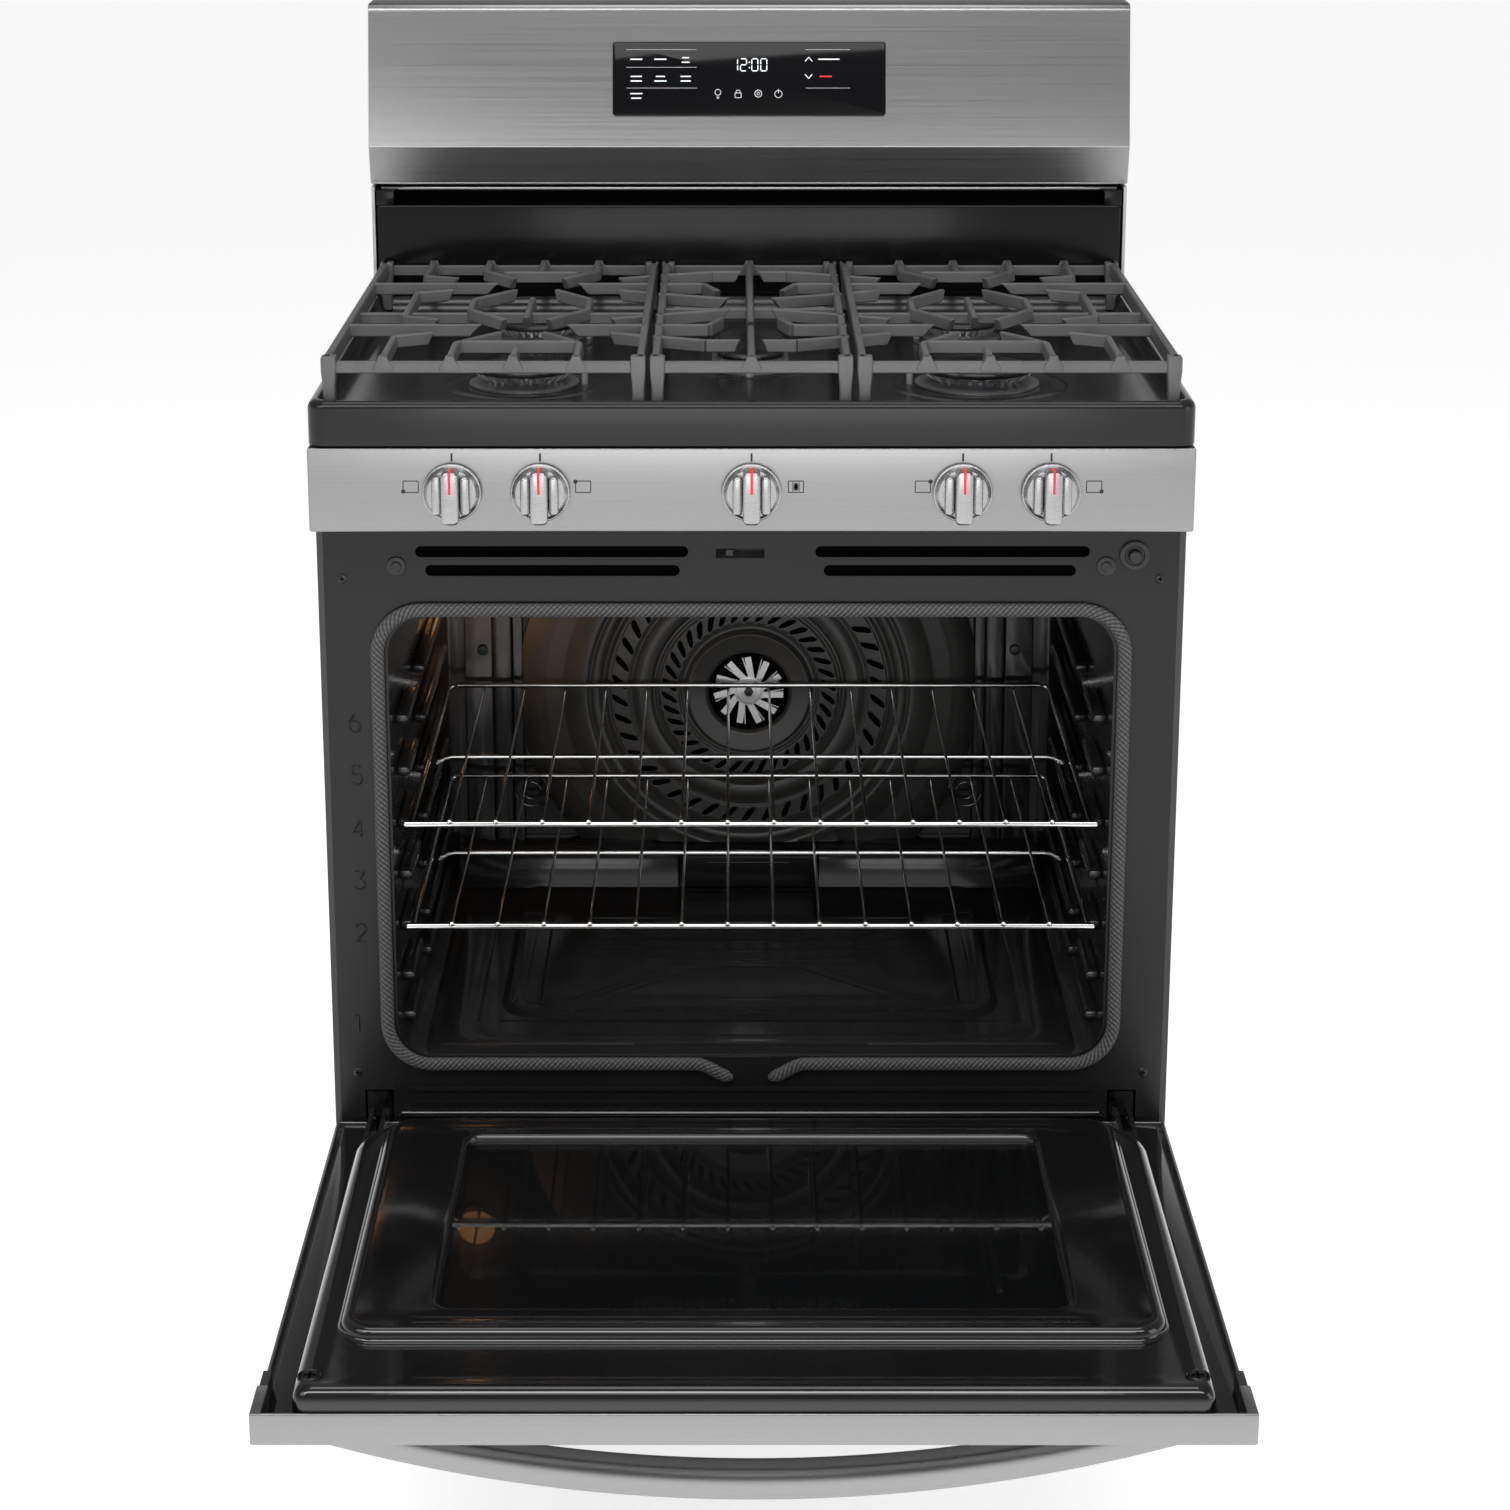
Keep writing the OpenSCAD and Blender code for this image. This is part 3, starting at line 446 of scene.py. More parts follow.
# black sheet behind the vent gap under the guard: painted shade
piece("ventShadeSheet", [softBox([-372, guardFront + 24, 1000], [372, guardFront + 26, 1060], 0.5, "z")],
      shadeAndFritBlack, "range")
controls = {"middle": 67.5, "w": 271.0, "h": 73.0, "textLift": 3.25}
glassRows = [(controls["w"], controls["h"], 3, 0.0), (controls["w"], controls["h"], 3, 2.2),
             (controls["w"] - 0.8, controls["h"] - 0.8, 2.6, 2.8), (controls["w"] - 2, controls["h"] - 2,
                 2, 3.0)]
glassRings = [onGuard(roundRect(w, h, r) + [0, controls["middle"]], k) for w, h, r, k in glassRows]
piece("controlGlass", loft(glassRings), panelGlass, "range", ["control_glass"])


def bar2d(x0, y0, x1, y1, w):  # straight stroke as a thin rectangle
    a, b = np.array([x0, y0], float), np.array([x1, y1], float)
    d = (b - a) / np.linalg.norm(b - a)
    n = np.array([-d[1], d[0]]) * w / 2
    return np.array([a + n, a - n, b - n, b + n])


def strokes(lines, origin, size=1.0, w=0.5):  # strokes of an icon as plates on the control glass
    return [guardPlate(bar2d(*(np.array(l) * size), w) + np.array(origin) + [0, controls["middle"]],
                       controls["textLift"] - 0.5, controls["textLift"]) for l in lines]


def ringStrokes(cx, cy, r, w, origin, sides=20):  # circle outline as short strokes
    t = np.linspace(0, 2 * math.pi, sides + 1)
    p = np.stack([cx + r * np.cos(t), cy + r * np.sin(t)], -1)
    return strokes([(*a, *b) for a, b in zip(p[:-1], p[1:])], origin, 1.0, w)


segments = {"a": (0.1, 2, 0.9, 2), "b": (1, 1.1, 1, 1.9), "c": (1, 0.1, 1, 0.9), "d": (0.1, 0, 0.9, 0),
            "e": (0, 0.1, 0, 0.9), "f": (0, 1.1, 0, 1.9), "g": (0.1, 1, 0.9, 1)}
lit = {"1": "bc", "2": "abged", "0": "abcdef"}
clock = []
for spot, digit in zip((-17.5, -8.6, 2.6, 11.5), "1200"):
    clock += strokes([segments[s] for s in lit[digit]], (spot, 7.5), 6.0, 1.05)
clock += strokes([(-0.6, 3.2, 0.6, 3.2), (-0.6, 8.6, 0.6, 8.6)], (0.2, 7.5), 1.0, 1.2)
marks = []
for x, y, w in [(-112, 19, 12), (-88, 19, 12), (-63, 20.5, 7), (-63, 16, 8), (-112, 2, 11), (-112, -2.5,
    11), (-88, 2, 9),
                (-88, -2.5, 12), (-63, 2, 10), (-63, -2.5, 10), (-112, -15, 12), (-112, -19.5, 10), (79,
                    19, 21)]:
    marks += strokes([(-w / 2, 0, w / 2, 0)], (x, y), 1.0, 1.15)
for x0, x1, y in [(-122, -52, 28.5), (-122, -52, 11), (-122, -52, -9.5), (56, 100, 28.5), (56, 100, -9.5)]:
    marks += strokes([(x0, 0, x1, 0)], (0, y), 1.0, 0.2)
marks += strokes([(-3.5, -2, 0, 2), (0, 2, 3.5, -2)], (59, 19), 1.0, 0.7)
marks += strokes([(-3.5, 2, 0, -2), (0, -2, 3.5, 2)], (59, 2), 1.0, 0.7)
marks += ringStrokes(0, 1.3, 2.9, 0.4, (-31, -15)) + strokes([(-1.4, -3.4, 1.4, -3.4),
    (-1, -4.6, 1, -4.6)], (-31, -15), 1.0, 0.45)
marks += strokes([(-3, -4, 3, -4), (3, -4, 3, 0.6), (3, 0.6, -3, 0.6), (-3, 0.6, -3, -4), (-1.8, 0.6,
    -1.8, 3), (-1.8, 3.4, 1.8, 3.4),
                  (1.8, 3, 1.8, 0.6)], (-11, -15), 1.0, 0.42)
marks += ringStrokes(0, 0, 3.6, 0.5, (9, -15), 8) + ringStrokes(0, 0, 1.3, 0.4, (9, -15), 10)
marks += ringStrokes(0, -0.4, 3.6, 0.42, (29, -15)) + strokes([(0, 0.5, 0, 4.4)], (29, -15), 1.0, 0.5)
piece("clockDigits", clock, whiteDisplayAndPrintGlow, "range")
# printed marks glow: painted light
piece("controlMarks", marks, whiteDisplayAndPrintGlow, "range")
# red stop mark glows: painted light
piece("stopMark", strokes([(-6, 0, 6, 0)], (76, 2), 1.0, 1.3), redPrintPaintedGlow, "range")
print("backguard done")

# control panel and knobs
low, high = boxOf("control_panel")
panelFace, knobHeight = low[1], boxOf("knob_3")[0][2] + 25.4
panelOutline = roundRect(high[1] - low[1], high[2] - low[2], 1.6, 4) + [(low[1] + high[1]) / 2,
    (low[2] + high[2]) / 2]
piece("controlPanel", sweepX(panelOutline, low[0], high[0], 1.2), steel, "range",
    ["control_panel"])


def panelStroke(lines, x, z, w=0.5):  # strokes printed on the panel's face
    return [loft([onPlane(bar2d(*l, w) + [x, z], panelFace - k, "y") for k in (-0.3, 0.12)]) for l in lines]


knobDims = {"skirt": 25.4, "rim": 22.5, "barHalf": 7.4, "barTall": 23.0, "deep": 23.0}
printed, knobMiddles = [], []
for index in range(1, 6):
    kl, kh = boxOf("knob_%d" % index)
    x, front, back = (kl[0] + kh[0]) / 2, kl[1], kh[1]
    knobMiddles.append(x)
    here = (x, knobHeight)
    body = [drum(knobDims["skirt"], back, back - 3.6, here, "y", 1.0, 72),
            spun([(knobDims["skirt"] - 1.2, back - 3.4), (knobDims["rim"], back - 5.6),
                (knobDims["rim"] - 1.6, back - 7.2),
                  (knobDims["rim"] - 6, back - 7.6)], here, "y", 72)]
    for side in (-1, 1):
        body.append(softBox([x + side * 12 - 4.2, front + 9, knobHeight - 17], [x + side * 12 + 4.2,
            back - 6, knobHeight + 17], 2.4, "y", 3.6))
    body.append(softBox([x - knobDims["barHalf"], front, knobHeight - 23], [x + knobDims["barHalf"],
        back - 5, knobHeight + 23], 2.2, "y", 4.5))
    piece("knob%d" % index, body, steelKnob, "dial_%d" % index, ["knob_%d" % index])
    # red knob line glows: painted light
    piece("knobLine%d" % index,
        [softBox([x - 1.2, front - 0.15, knobHeight + 4], [x + 1.2, front + 0.6, knobHeight + 22], 0.2,
            "y"),
                                 softBox([x - 1.2, front + 0.2, knobHeight + 22.2], [x + 1.2, back - 7,
                                     knobHeight + 23.15], 0.2, "y")],
          redPrintPaintedGlow, "dial_%d" % index)
    printed += panelStroke([(0, 0, 0, 7)], x, knobHeight + 26.2, 1.7)
for x, dot, oval in [(-291.5, (-6.5, -4.2), 0), (-144, (-6.5, 4.5), 0), (38, (0, 0), 1), (146.5,
    (6.5, 4.5), 0), (293, (6.5, -4.2), 0)]:
    printed += panelStroke([(-6.5, -5, 6.5, -5), (6.5, -5, 6.5, 5), (6.5, 5, -6.5, 5), (-6.5, 5, -6.5,
        -5)], x, knobHeight + 4, 0.85)
    if oval:
        printed += panelStroke([(-2.6, -4.2, -2.6, 4.2), (2.6, -4.2, 2.6, 4.2)], x, knobHeight + 4, 0.8)
        printed += [drum(1.9, panelFace - 0.16, panelFace + 0.2, (x, knobHeight + 4 + k), "y", 0.05,
            16) for k in (-1.6, 0, 1.6)]
    else:
        printed.append(drum(1.9, panelFace - 0.16, panelFace + 0.2, (x + dot[0], knobHeight + 4 + dot[1]),
            "y", 0.05, 16))
piece("panelMarks", printed, markDark, "range")
print("control panel done")

# cooktop and burners
low, high = boxOf("cooktop")
mid = ((low[0] + high[0]) / 2, (low[1] + high[1]) / 2)
topW, topD = high[0] - low[0], high[1] - low[1]
wellZ = high[2] - 19
quarter = np.radians(np.linspace(0, 90, 6))
rows = [(topW, topD, 16, low[2]), (topW, topD, 16, high[2] - 7)]
rows += [(topW - 14 * (1 - math.cos(a)), topD - 14 * (1 - math.cos(a)), 16 - 2 * (1 - math.cos(a)),
    high[2] - 7 + 7 * math.sin(a)) for a in quarter]
rows += [(topW - 16, topD - 16, 14, high[2]), (topW - 19, topD - 19, 13, high[2] - 1.2), (topW - 24,
    topD - 24, 12, high[2] - 8),
         (topW - 30, topD - 30, 11, wellZ + 3), (topW - 38, topD - 38, 9, wellZ + 0.4), (topW - 50,
             topD - 50, 8, wellZ)]
pan = shell(rows, "z", mid, 8)
piece("cooktopPan", [pan], topEnamel, "range", ["cooktop"])

burnerTable = [(-204, 112, 49.5), (204, 112, 56), (-204, 333, 44), (204, 333, 38)]


# flared ring: rows of an oval outline whose radius dips at the slots
def slottedRing(cx, cy, r, long=0.0, teeth=28):
    steps = teeth * 6
    t = np.linspace(0, 2 * math.pi, steps, endpoint=False)
    dip = (np.cos(t * teeth) > 0.45).astype(float)
    stretch = long * np.sign(np.sin(t)) * (np.abs(np.sin(t)) > 1e-6)
    rings = []
    for size, z, cut in [(0.80, wellZ + 0.3, 0), (1.0, wellZ + 0.5, 0), (1.0, wellZ + 2.5, 0), (0.80,
        wellZ + 4.5, 0), (0.74, wellZ + 6.5, 0),
                         (0.80, wellZ + 8, 1), (0.90, wellZ + 12.6, 1), (0.90, wellZ + 13.3, 0), (0.6,
                             wellZ + 13.4, 0)]:
        rr = r * size * (1 - 0.10 * cut * dip)
        rings.append(np.column_stack([cx + rr * np.cos(t), cy + rr * np.sin(t) + stretch, np.full(steps,
            z)]))
    return loft(rings)


def burnerCap(cx, cy, r, long=0.0):  # domed cap: rows of an oval outline
    t = np.linspace(0, 2 * math.pi, 64, endpoint=False)
    stretch = long * np.sign(np.sin(t)) * (np.abs(np.sin(t)) > 1e-6)
    rows = [(0.80, 0), (0.86, 0.6), (0.87, 2.2), (0.85, 3.6), (0.80, 4.6), (0.72, 5.2), (0.60, 5.0), (0.3,
        5.3), (0.02, 5.4)]
    return loft([np.column_stack([cx + r * s * np.cos(t), cy + r * s * np.sin(t) + stretch, np.full(64,
        wellZ + 13.5 + k)]) for s, k in rows])


def dish(cx, cy, r, long=0.0):  # raised collar pressed into the pan under each burner
    t = np.linspace(0, 2 * math.pi, 64, endpoint=False)
    stretch = long * np.sign(np.sin(t)) * (np.abs(np.sin(t)) > 1e-6)
    rows = [(1.5, -0.4), (1.42, 0.5), (1.34, 1.0), (1.2, 1.2), (1.12, 0.4), (1.0, 0.1)]
    return loft([np.column_stack([cx + r * s * np.cos(t), cy + r * s * np.sin(t) + stretch, np.full(64,
        wellZ + k)]) for s, k in rows])


piece("burnerRings", [slottedRing(*b) for b in burnerTable] + [slottedRing(0, 222, 35.5, 40, 30)],
    aluminium, "range", ["burner_bases"])
piece("burnerCaps", [burnerCap(*b) for b in burnerTable] + [burnerCap(0, 222, 35.5, 40)], capEnamel,
    "range", ["burner_caps"])
piece("burnerDishes", [dish(*b) for b in burnerTable] + [dish(0, 222, 35.5, 40)], topEnamel, "range")
print("cooktop done")

# grates
grateZ = boxOf("grate_left")[1][2]
grateDims = {"fingerDrop": 11.0, "topW": 5.6, "lowW": 7.6, "endDrop": 4.5, "railDrop": 14.5, "foot": 902.0}


# tapered bar: a six-row outline carried from a to b, its lower edge drawn back by the slant
def ironBar(a, b, zLow, zHigh, wTop, wLow, slantA=0.0, slantB=0.0):
    a, b = np.array(a, float), np.array(b, float)
    length = np.linalg.norm(b - a)
    d = (b - a) / length
    n = np.array([-d[1], d[0]])
    e = 1.1
    side = np.array([-wLow / 2 + e, -wLow / 2, -wTop / 2, -wTop / 2 + e, wTop / 2 - e, wTop / 2, wLow / 2,
        wLow / 2 - e])
    height = np.array([zLow, zLow + e, zHigh - e, zHigh, zHigh, zHigh - e, zLow + e, zLow])
    drop = (zHigh - height) / (zHigh - zLow)
    rings = []
    for along, back, pinch in [(0, slantA, 0.72), (e, slantA, 1), (length - e, -slantB, 1), (length,
        -slantB, 0.72)]:
        s = along + back * drop
        z = (zLow + zHigh) / 2 + (height - (zLow + zHigh) / 2) * (1 if pinch == 1 else 0.94)
        rings.append(np.column_stack([a[0] + d[0] * s + n[0] * side * pinch,
            a[1] + d[1] * s + n[1] * side * pinch, z]))
    return loft(rings)


def fingers(lines):  # x0, y0, x1, y1, slant at the first end, slant at the second
    return [ironBar(l[:2], l[2:4], grateZ - grateDims["fingerDrop"], grateZ, grateDims["topW"],
        grateDims["lowW"], l[4], l[5]) for l in lines]


def rails(lines, drop, wTop=6.4, wLow=8.0):
    return [ironBar(l[:2], l[2:4], grateZ - grateDims["railDrop"], grateZ - drop, wTop,
        wLow) for l in lines]


def risers(spots):  # where a finger meets an end rail: a wedge that spreads as it goes down
    parts = []
    for x, y in spots:
        rows = [(7.0, 7.6, grateZ), (7.6, 8.4, grateZ - 0.9), (9.0, 8.8, grateZ - 3), (17.0, 8.9,
            grateZ - 8.5),
                (18.0, 8.9, grateZ - 12)]
        parts.append(loft([onPlane(roundRect(w, d, 1.0, 3), k, "z", (x, y)) for w, d, k in rows[::-1]]))
    return parts


def cornerPosts(spots):  # leg that narrows towards its rubber foot
    parts = []
    for x, y in spots:
        rows = [(11.5, 12.5, grateZ), (12.8, 13.5, grateZ - 1.1), (13.0, 13.5, grateZ - 12), (10.5, 12,
            grateZ - 26),
                (9.5, 11, grateDims["foot"])]
        parts.append(loft([onPlane(roundRect(w, d, 1.6, 3), k, "z", (x, y)) for w, d, k in rows[::-1]]))
    return parts


front, rear = -36.0, 466.0
sideFingers = [(-364, 335, -242, 335, 0, 10), (-165, 335, -94, 335, 10, 0), (-364, 115, -242, 115, 0, 10),
    (-165, 115, -94, 115, 10, 0),
               (-258, rear, -258, 410, 0, 0), (-258, 410, -227, 362, 0, 6), (-150, rear, -150, 410, 0, 0),
                   (-150, 410, -181, 362, 0, 6),
               (-222, 300, -258, 250, 6, 0), (-258, 250, -258, 195, 0, 0), (-258, 195, -222, 140, 0, 6),
               (-184, 300, -150, 250, 6, 0), (-150, 250, -150, 195, 0, 0), (-150, 195, -184, 140, 0, 6),
               (-222, 80, -258, 30, 6, 0), (-258, 30, -258, front, 0, 0), (-184, 80, -150, 30, 6, 0),
                   (-150, 30, -150, front, 0, 0),
               (-256, 35, -152, 35, 0, 0), (-240, 402, -168, 402, 0, 0),
               (-204, rear, -204, 408, 0, 6), (-204, 257, -204, 150, 6, 6), (-204, 7, -204, front, 6, 0),
               (-315, rear, -315, 380, 0, 0), (-315, 380, -282, 366, 0, 6), (-282, 300, -315, 285, 6, 0),
                   (-315, 285, -315, 160, 0, 0),
               (-315, 160, -282, 143, 0, 6), (-282, 77, -315, 60, 6, 0), (-315, 60, -315, front, 0, 0),
               (-127, 365, -94, 380, 6, 0), (-125, 300, -94, 284, 6, 0), (-127, 147, -94, 163, 6, 0),
                   (-125, 77, -94, 62, 6, 0)]
sideRails = [(-362, front, -97, front), (-362, rear, -97, rear), (-363, 198, -95, 198)]
longRails = [(-363, front, -363, rear), (-95, front, -95, rear)]


def mirrored(lines):
    return [(-l[0], l[1], -l[2], l[3], *l[4:]) for l in lines]


def sideGrate(flip):
    lines, low, long = [mirrored(l) if flip else l for l in (sideFingers, sideRails, longRails)]
    s = -1 if flip else 1
    parts = fingers(lines) + rails(low, grateDims["endDrop"]) + rails(long, 0.0)
    parts += risers([(s * x, y) for x in (-315, -258, -204, -150) for y in (front, rear)])
    parts += cornerPosts([(s * x, y) for x in (-361.5, -97) for y in (front + 1, rear - 7)])
    return parts


piece("grateLeft", sideGrate(False), iron, "left_grate", ["grate_left"], 30)
piece("grateRight", sideGrate(True), iron, "right_grate", ["grate_right"], 30)
half = [(44, 335, 86, 335, 0, 0), (44, 335, 30, 293, 0, 6), (38, 115, 86, 115, 0, 0), (38, 115, 26, 152,
    0, 6), (86, 384, 37, 405, 0, 0),
        (37, 405, 8, 405, 0, 6), (86, 280, 20, 252, 0, 8), (86, 167, 20, 195, 0, 8), (86, 61, 40, 40, 0,
            0), (40, 40, 10, 40, 0, 4)]
centreParts = fingers(half + mirrored(half) + [(0, rear, 0, 130, 0, 6), (0, 110, 0, front, 6, 0)])
centreParts += rails([(-80, front, 80, front), (-80, rear, 80, rear), (-80, 222, 80, 222)],
    grateDims["endDrop"])
centreParts += rails([(-82, front, -82, rear), (82, front, 82, rear)], 0.0)
centreParts += risers([(0, front), (0, rear)]) + cornerPosts([(s * 80.5, y) for s in (-1,
    1) for y in (front + 1, rear - 7)])
piece("grateCentre", centreParts, iron, "center_grate", ["grate_center"], 30)
print("grates done")

# front frame, gasket
low, high = boxOf("front_frame")
frameFace = high[1] - 1.5
oven = {"w": 640.0, "h": 417.0, "r": 35.0, "floor": 297.0, "depth": 480.0, "baffle": 464.0}
ovenMid = (0, oven["floor"] + oven["h"] / 2)
cavityBack = frameFace + oven["depth"]
# black sheets behind the frame's slots: painted shade in place of the dark inside
slotShadeBacks = [softBox([a, frameFace + 4, 748], [b, frameFace + 6, 781], 0.3) for a, b in ((-298, -50),
    (52, 300))]
piece("slotShadeSheet", slotShadeBacks, shadeAndFritBlack, "range")


# domed head with a cross recess; the recess isn't cut, a dark cross laid on the head stands in as painted
# shade
def screwHead(x, z, y, r, tall, facing=-1):
    rows = [(r, y), (r, y + facing * tall * 0.55), (r * 0.85, y + facing * tall * 0.9), (r * 0.5,
        y + facing * tall), (0.02, y + facing * tall)]
    return spun(rows, (x, z), "y", 28)


# flat dark cross on a screw head: painted shade of its recess
def shadeCross(x, z, y, r):
    return [softBox([x - a, y - 0.25, z - b], [x + a, y + 0.4, z + b], 0.1, "y") for a,
        b in ((r, r * 0.22), (r * 0.22, r))]


heads, crossShades, rings = [], [], []
for x in (-358, 358):
    for z in (282.5, 747.5):
        heads.append(screwHead(x, z, frameFace, 4.2, 1.6))
        crossShades += shadeCross(x, z, frameFace - 1.5, 2.2)
for x in (-310.5, 310.5):
    heads.append(drum(8.5, frameFace, frameFace - 2.2, (x, 759), "y", 0.6, 36))
    heads.append(drum(4.6, frameFace - 2, frameFace - 4.8, (x, 759), "y", 0.6, 24))
for x in (-273, 273):
    heads.append(screwHead(x, 550, frameFace + oven["baffle"], 5.5, 2.4))
for s in (-1, 1):
    heads.append(softBox([min(s * 379.5, s * 381), -44, 812], [max(s * 379.5, s * 381), -36, 820], 0.6,
        "x", 3.9))
ridges = [rod((-322, frameFace + 1.2, z), (322, frameFace + 1.2, z), 3.6, 16) for z in (241, 226)]
# ridges in a brightened metal: painted sheen
piece("frameRidges", ridges, ridgeSheenMetal, "range")
piece("frameScrews", heads, darkMetal, "range", ["frame_screws"])
# dark crosses on the frame screws: painted shade in the recesses
piece("frameScrewCrossShade", crossShades, shadeAndFritBlack, "range")
switchX = (boxOf("light_switch")[0][0] + boxOf("light_switch")[1][0]) / 2
piece("switchBezel",
    [spun([(13.2, frameFace), (13.2, frameFace - 3.2), (12.4, frameFace - 4), (9, frameFace - 4), (8.4,
        frameFace - 3.4),
                            (8.4, frameFace - 0.2), (13.0, frameFace - 0.1)], (switchX, 769), "y", 48)],
                                plastic, "range")
piece("switchPlunger", [drum(5.4, frameFace + 10, frameFace - 8.4, (switchX, 769), "y", 1.2, 32)],
    plastic, "lamp_switch", ["light_switch"])

numbers = {"x": -351.0, "size": 17.0, "rise": 0.9, "spots": {"6": 615, "5": 566, "4": 516, "3": 467,
    "2": 417, "1": 330}}
digitStrokes = {"1": [(0, 0, 0, 2), (0, 2, -0.35, 1.7)], "2": [(0, 0, 1, 0), (0, 0, 0.95, 1.25),
    (0.95, 1.25, 0.95, 1.7), (0.95, 1.7, 0.65, 2), (0.65, 2, 0.3, 2), (0.3, 2, 0, 1.65)],
                "3": [(0, 0.3, 0.3, 0), (0.3, 0, 0.7, 0), (0.7, 0, 1, 0.35), (1, 0.35, 1, 0.8), (1, 0.8,
                    0.5, 1.1), (0.5, 1.1, 1, 2), (1, 2, 0, 2)],
                "4": [(0.75, 0, 0.75, 2), (0.75, 2, 0, 0.6), (0, 0.6, 1.05, 0.6)],
                "5": [(0, 0.25, 0.35, 0), (0.35, 0, 0.75, 0), (0.75, 0, 1, 0.4), (1, 0.4, 1, 0.85), (1,
                    0.85, 0.7, 1.2), (0.7, 1.2, 0.1, 1.1), (0.1, 1.1, 0.15, 2), (0.15, 2, 0.95, 2)],
                "6": [(0.25, 0, 0.75, 0), (0.75, 0, 1, 0.35), (1, 0.35, 1, 0.8), (1, 0.8, 0.75, 1.15),
                    (0.75, 1.15, 0.25, 1.15), (0.25, 0, 0, 0.35),
                      (0, 0.35, 0, 1.2), (0, 1.2, 0.55, 2)]}
embossed = []
for digit, z in numbers["spots"].items():
    for x0, z0, x1, z1 in digitStrokes[digit]:
        k = numbers["size"] / 2
        a = np.array([numbers["x"] + (x0 - 0.5) * k * 1.1, frameFace - 0.1, z - 8 + z0 * k])
        b = np.array([numbers["x"] + (x1 - 0.5) * k * 1.1, frameFace - 0.1, z - 8 + z1 * k])
        embossed.append(rod(a, b, 1.15, 8, (0, 1, 0)))
piece("rackNumbers", embossed, frameEnamel, "range")

gasket = {"x": 329.0, "low": 292.0, "high": 720.0, "corner": 40.0, "half": 6.25, "deep": 3.75,
    "split": 16.0, "dip": 13.0}


def gasketPath():  # runs once round the opening from the split, with rounded corners, and dips at the split
    x, lo, hi, r = gasket["x"], gasket["low"], gasket["high"], gasket["corner"]
    s = np.linspace(0, 1, 16)
    dipX = gasket["split"] + s * 34
    dipZ = lo - gasket["dip"] * (0.5 + 0.5 * np.cos(s * math.pi))
    turn = np.linspace(0, math.pi / 2, 14)
    straightA = np.stack([np.linspace(54, x - r, 40)[:-1], np.full(39, lo)], -1)
    cornerA = np.stack([x - r + r * np.sin(turn), lo + r - r * np.cos(turn)], -1)
    side = np.stack([np.full(58, x), np.linspace(lo + r, hi - r, 60)[1:-1]], -1)
    cornerB = np.stack([x - r + r * np.cos(turn), hi - r + r * np.sin(turn)], -1)
    half = np.concatenate([np.stack([dipX, dipZ], -1)[:-1], straightA, cornerA, side, cornerB])
    top = np.stack([np.linspace(x - r, -(x - r), 80)[1:-1], np.full(78, hi)], -1)
    return np.concatenate([half, top, (half * [-1, 1])[::-1]])


flat = gasketPath()
steps = np.concatenate([[0], np.cumsum(np.linalg.norm(np.diff(flat, axis=0), axis=1))])
path = np.column_stack([flat[:, 0], np.full(len(flat), frameFace - gasket["deep"]), flat[:, 1]])
taper = np.minimum(1, np.minimum(steps, steps[-1] - steps) / 9 + 0.35)
sides = 16
points, faces = tube(path, gasket["half"] * taper, sides, (0, 1, 0), False, gasket["deep"] / gasket["half"])
ropePiece = piece("doorGasket", (points, faces), rope, "range", ["door_gasket"])
uvLayer = ropePiece.data.uv_layers.new(name="along")
vertexOf = np.zeros(len(ropePiece.data.loops), int)
ropePiece.data.loops.foreach_get("vertex_index", vertexOf)
around = ((vertexOf % sides) / sides - 0.75 + 0.5) % 1 - 0.5  # nought at the front, the seam at the back
along = steps[np.minimum(vertexOf // sides, len(steps) - 1)]
girth = math.pi * (gasket["half"] + gasket["deep"])
uvLayer.data.foreach_set("uv", np.column_stack([along * mm, around * girth * mm]).ravel())
rearHigh = boxOf("rear_panel")[1]
rearFace = rearHigh[1]
rearSpots = [(x, z) for x in (-362, 362) for z in (90, 240, 390, 540, 690)] + [(x, 728) for x in (-240,
    -80, 80, 240)]
rearHeads = [drum(5.2, rearFace - 0.2, rearFace + 1.1, at, "y", 0.5, 24) for at in rearSpots]
ribs = [softBox([x - 5, rearFace - 1.5, 220], [x + 5, rearFace + 1.0, 680], 0.9, "y", 4.5) for x in (-220,
    -110, 0, 110, 220)]
piece("rearScrews", rearHeads, darkMetal, "range")
piece("rearRibs", ribs, bodyPaint, "range")
print("front done")

# oven cavity
wall = {"t": 1.4, "guideDeep": 13.0}
w, h, r = oven["w"], oven["h"], oven["r"]
t = wall["t"]
linerRows = [(w + 0.2, h + 0.2, r + 0.1, frameFace + 0.2), (w, h, r, frameFace + 1), (w, h, r,
    cavityBack - 30), (w - 2, h - 2, r, cavityBack - 18),
             (w - 10, h - 10, r, cavityBack - 6), (w - 26, h - 26, r, cavityBack - 0.5), (w - 40, h - 40,
                 r, cavityBack)]
outRows = [(w - 40, h - 40, r, cavityBack + t), (w + 3, h + 3, r + t, cavityBack + t), (w + 3, h + 3,
    r + t, frameFace + 1.6), (w + 0.4, h + 0.4, r + 0.2, frameFace + 1.5)]
rings = [onPlane(roundRect(a, b, c, 10), k, "y", ovenMid) for a, b, c, k in linerRows + outRows]
linerFaces = gridFaces(len(rings), len(rings[0])).tolist()
size = len(rings[0])
linerFaces += [list(range((len(linerRows) - 1) * size, len(linerRows) * size)),
    list(range(len(linerRows) * size, (len(linerRows) + 1) * size))]
linerFaces = [f for i,
    f in enumerate(linerFaces) if not ((len(linerRows) - 1) * size <= i < len(linerRows) * size)]
linerFaces += [[(len(rings) - 1) * size + i, (len(rings) - 1) * size + (i + 1) % size, (i + 1) % size,
    i] for i in range(size)]
liner = (np.concatenate(rings), linerFaces)
guides = []
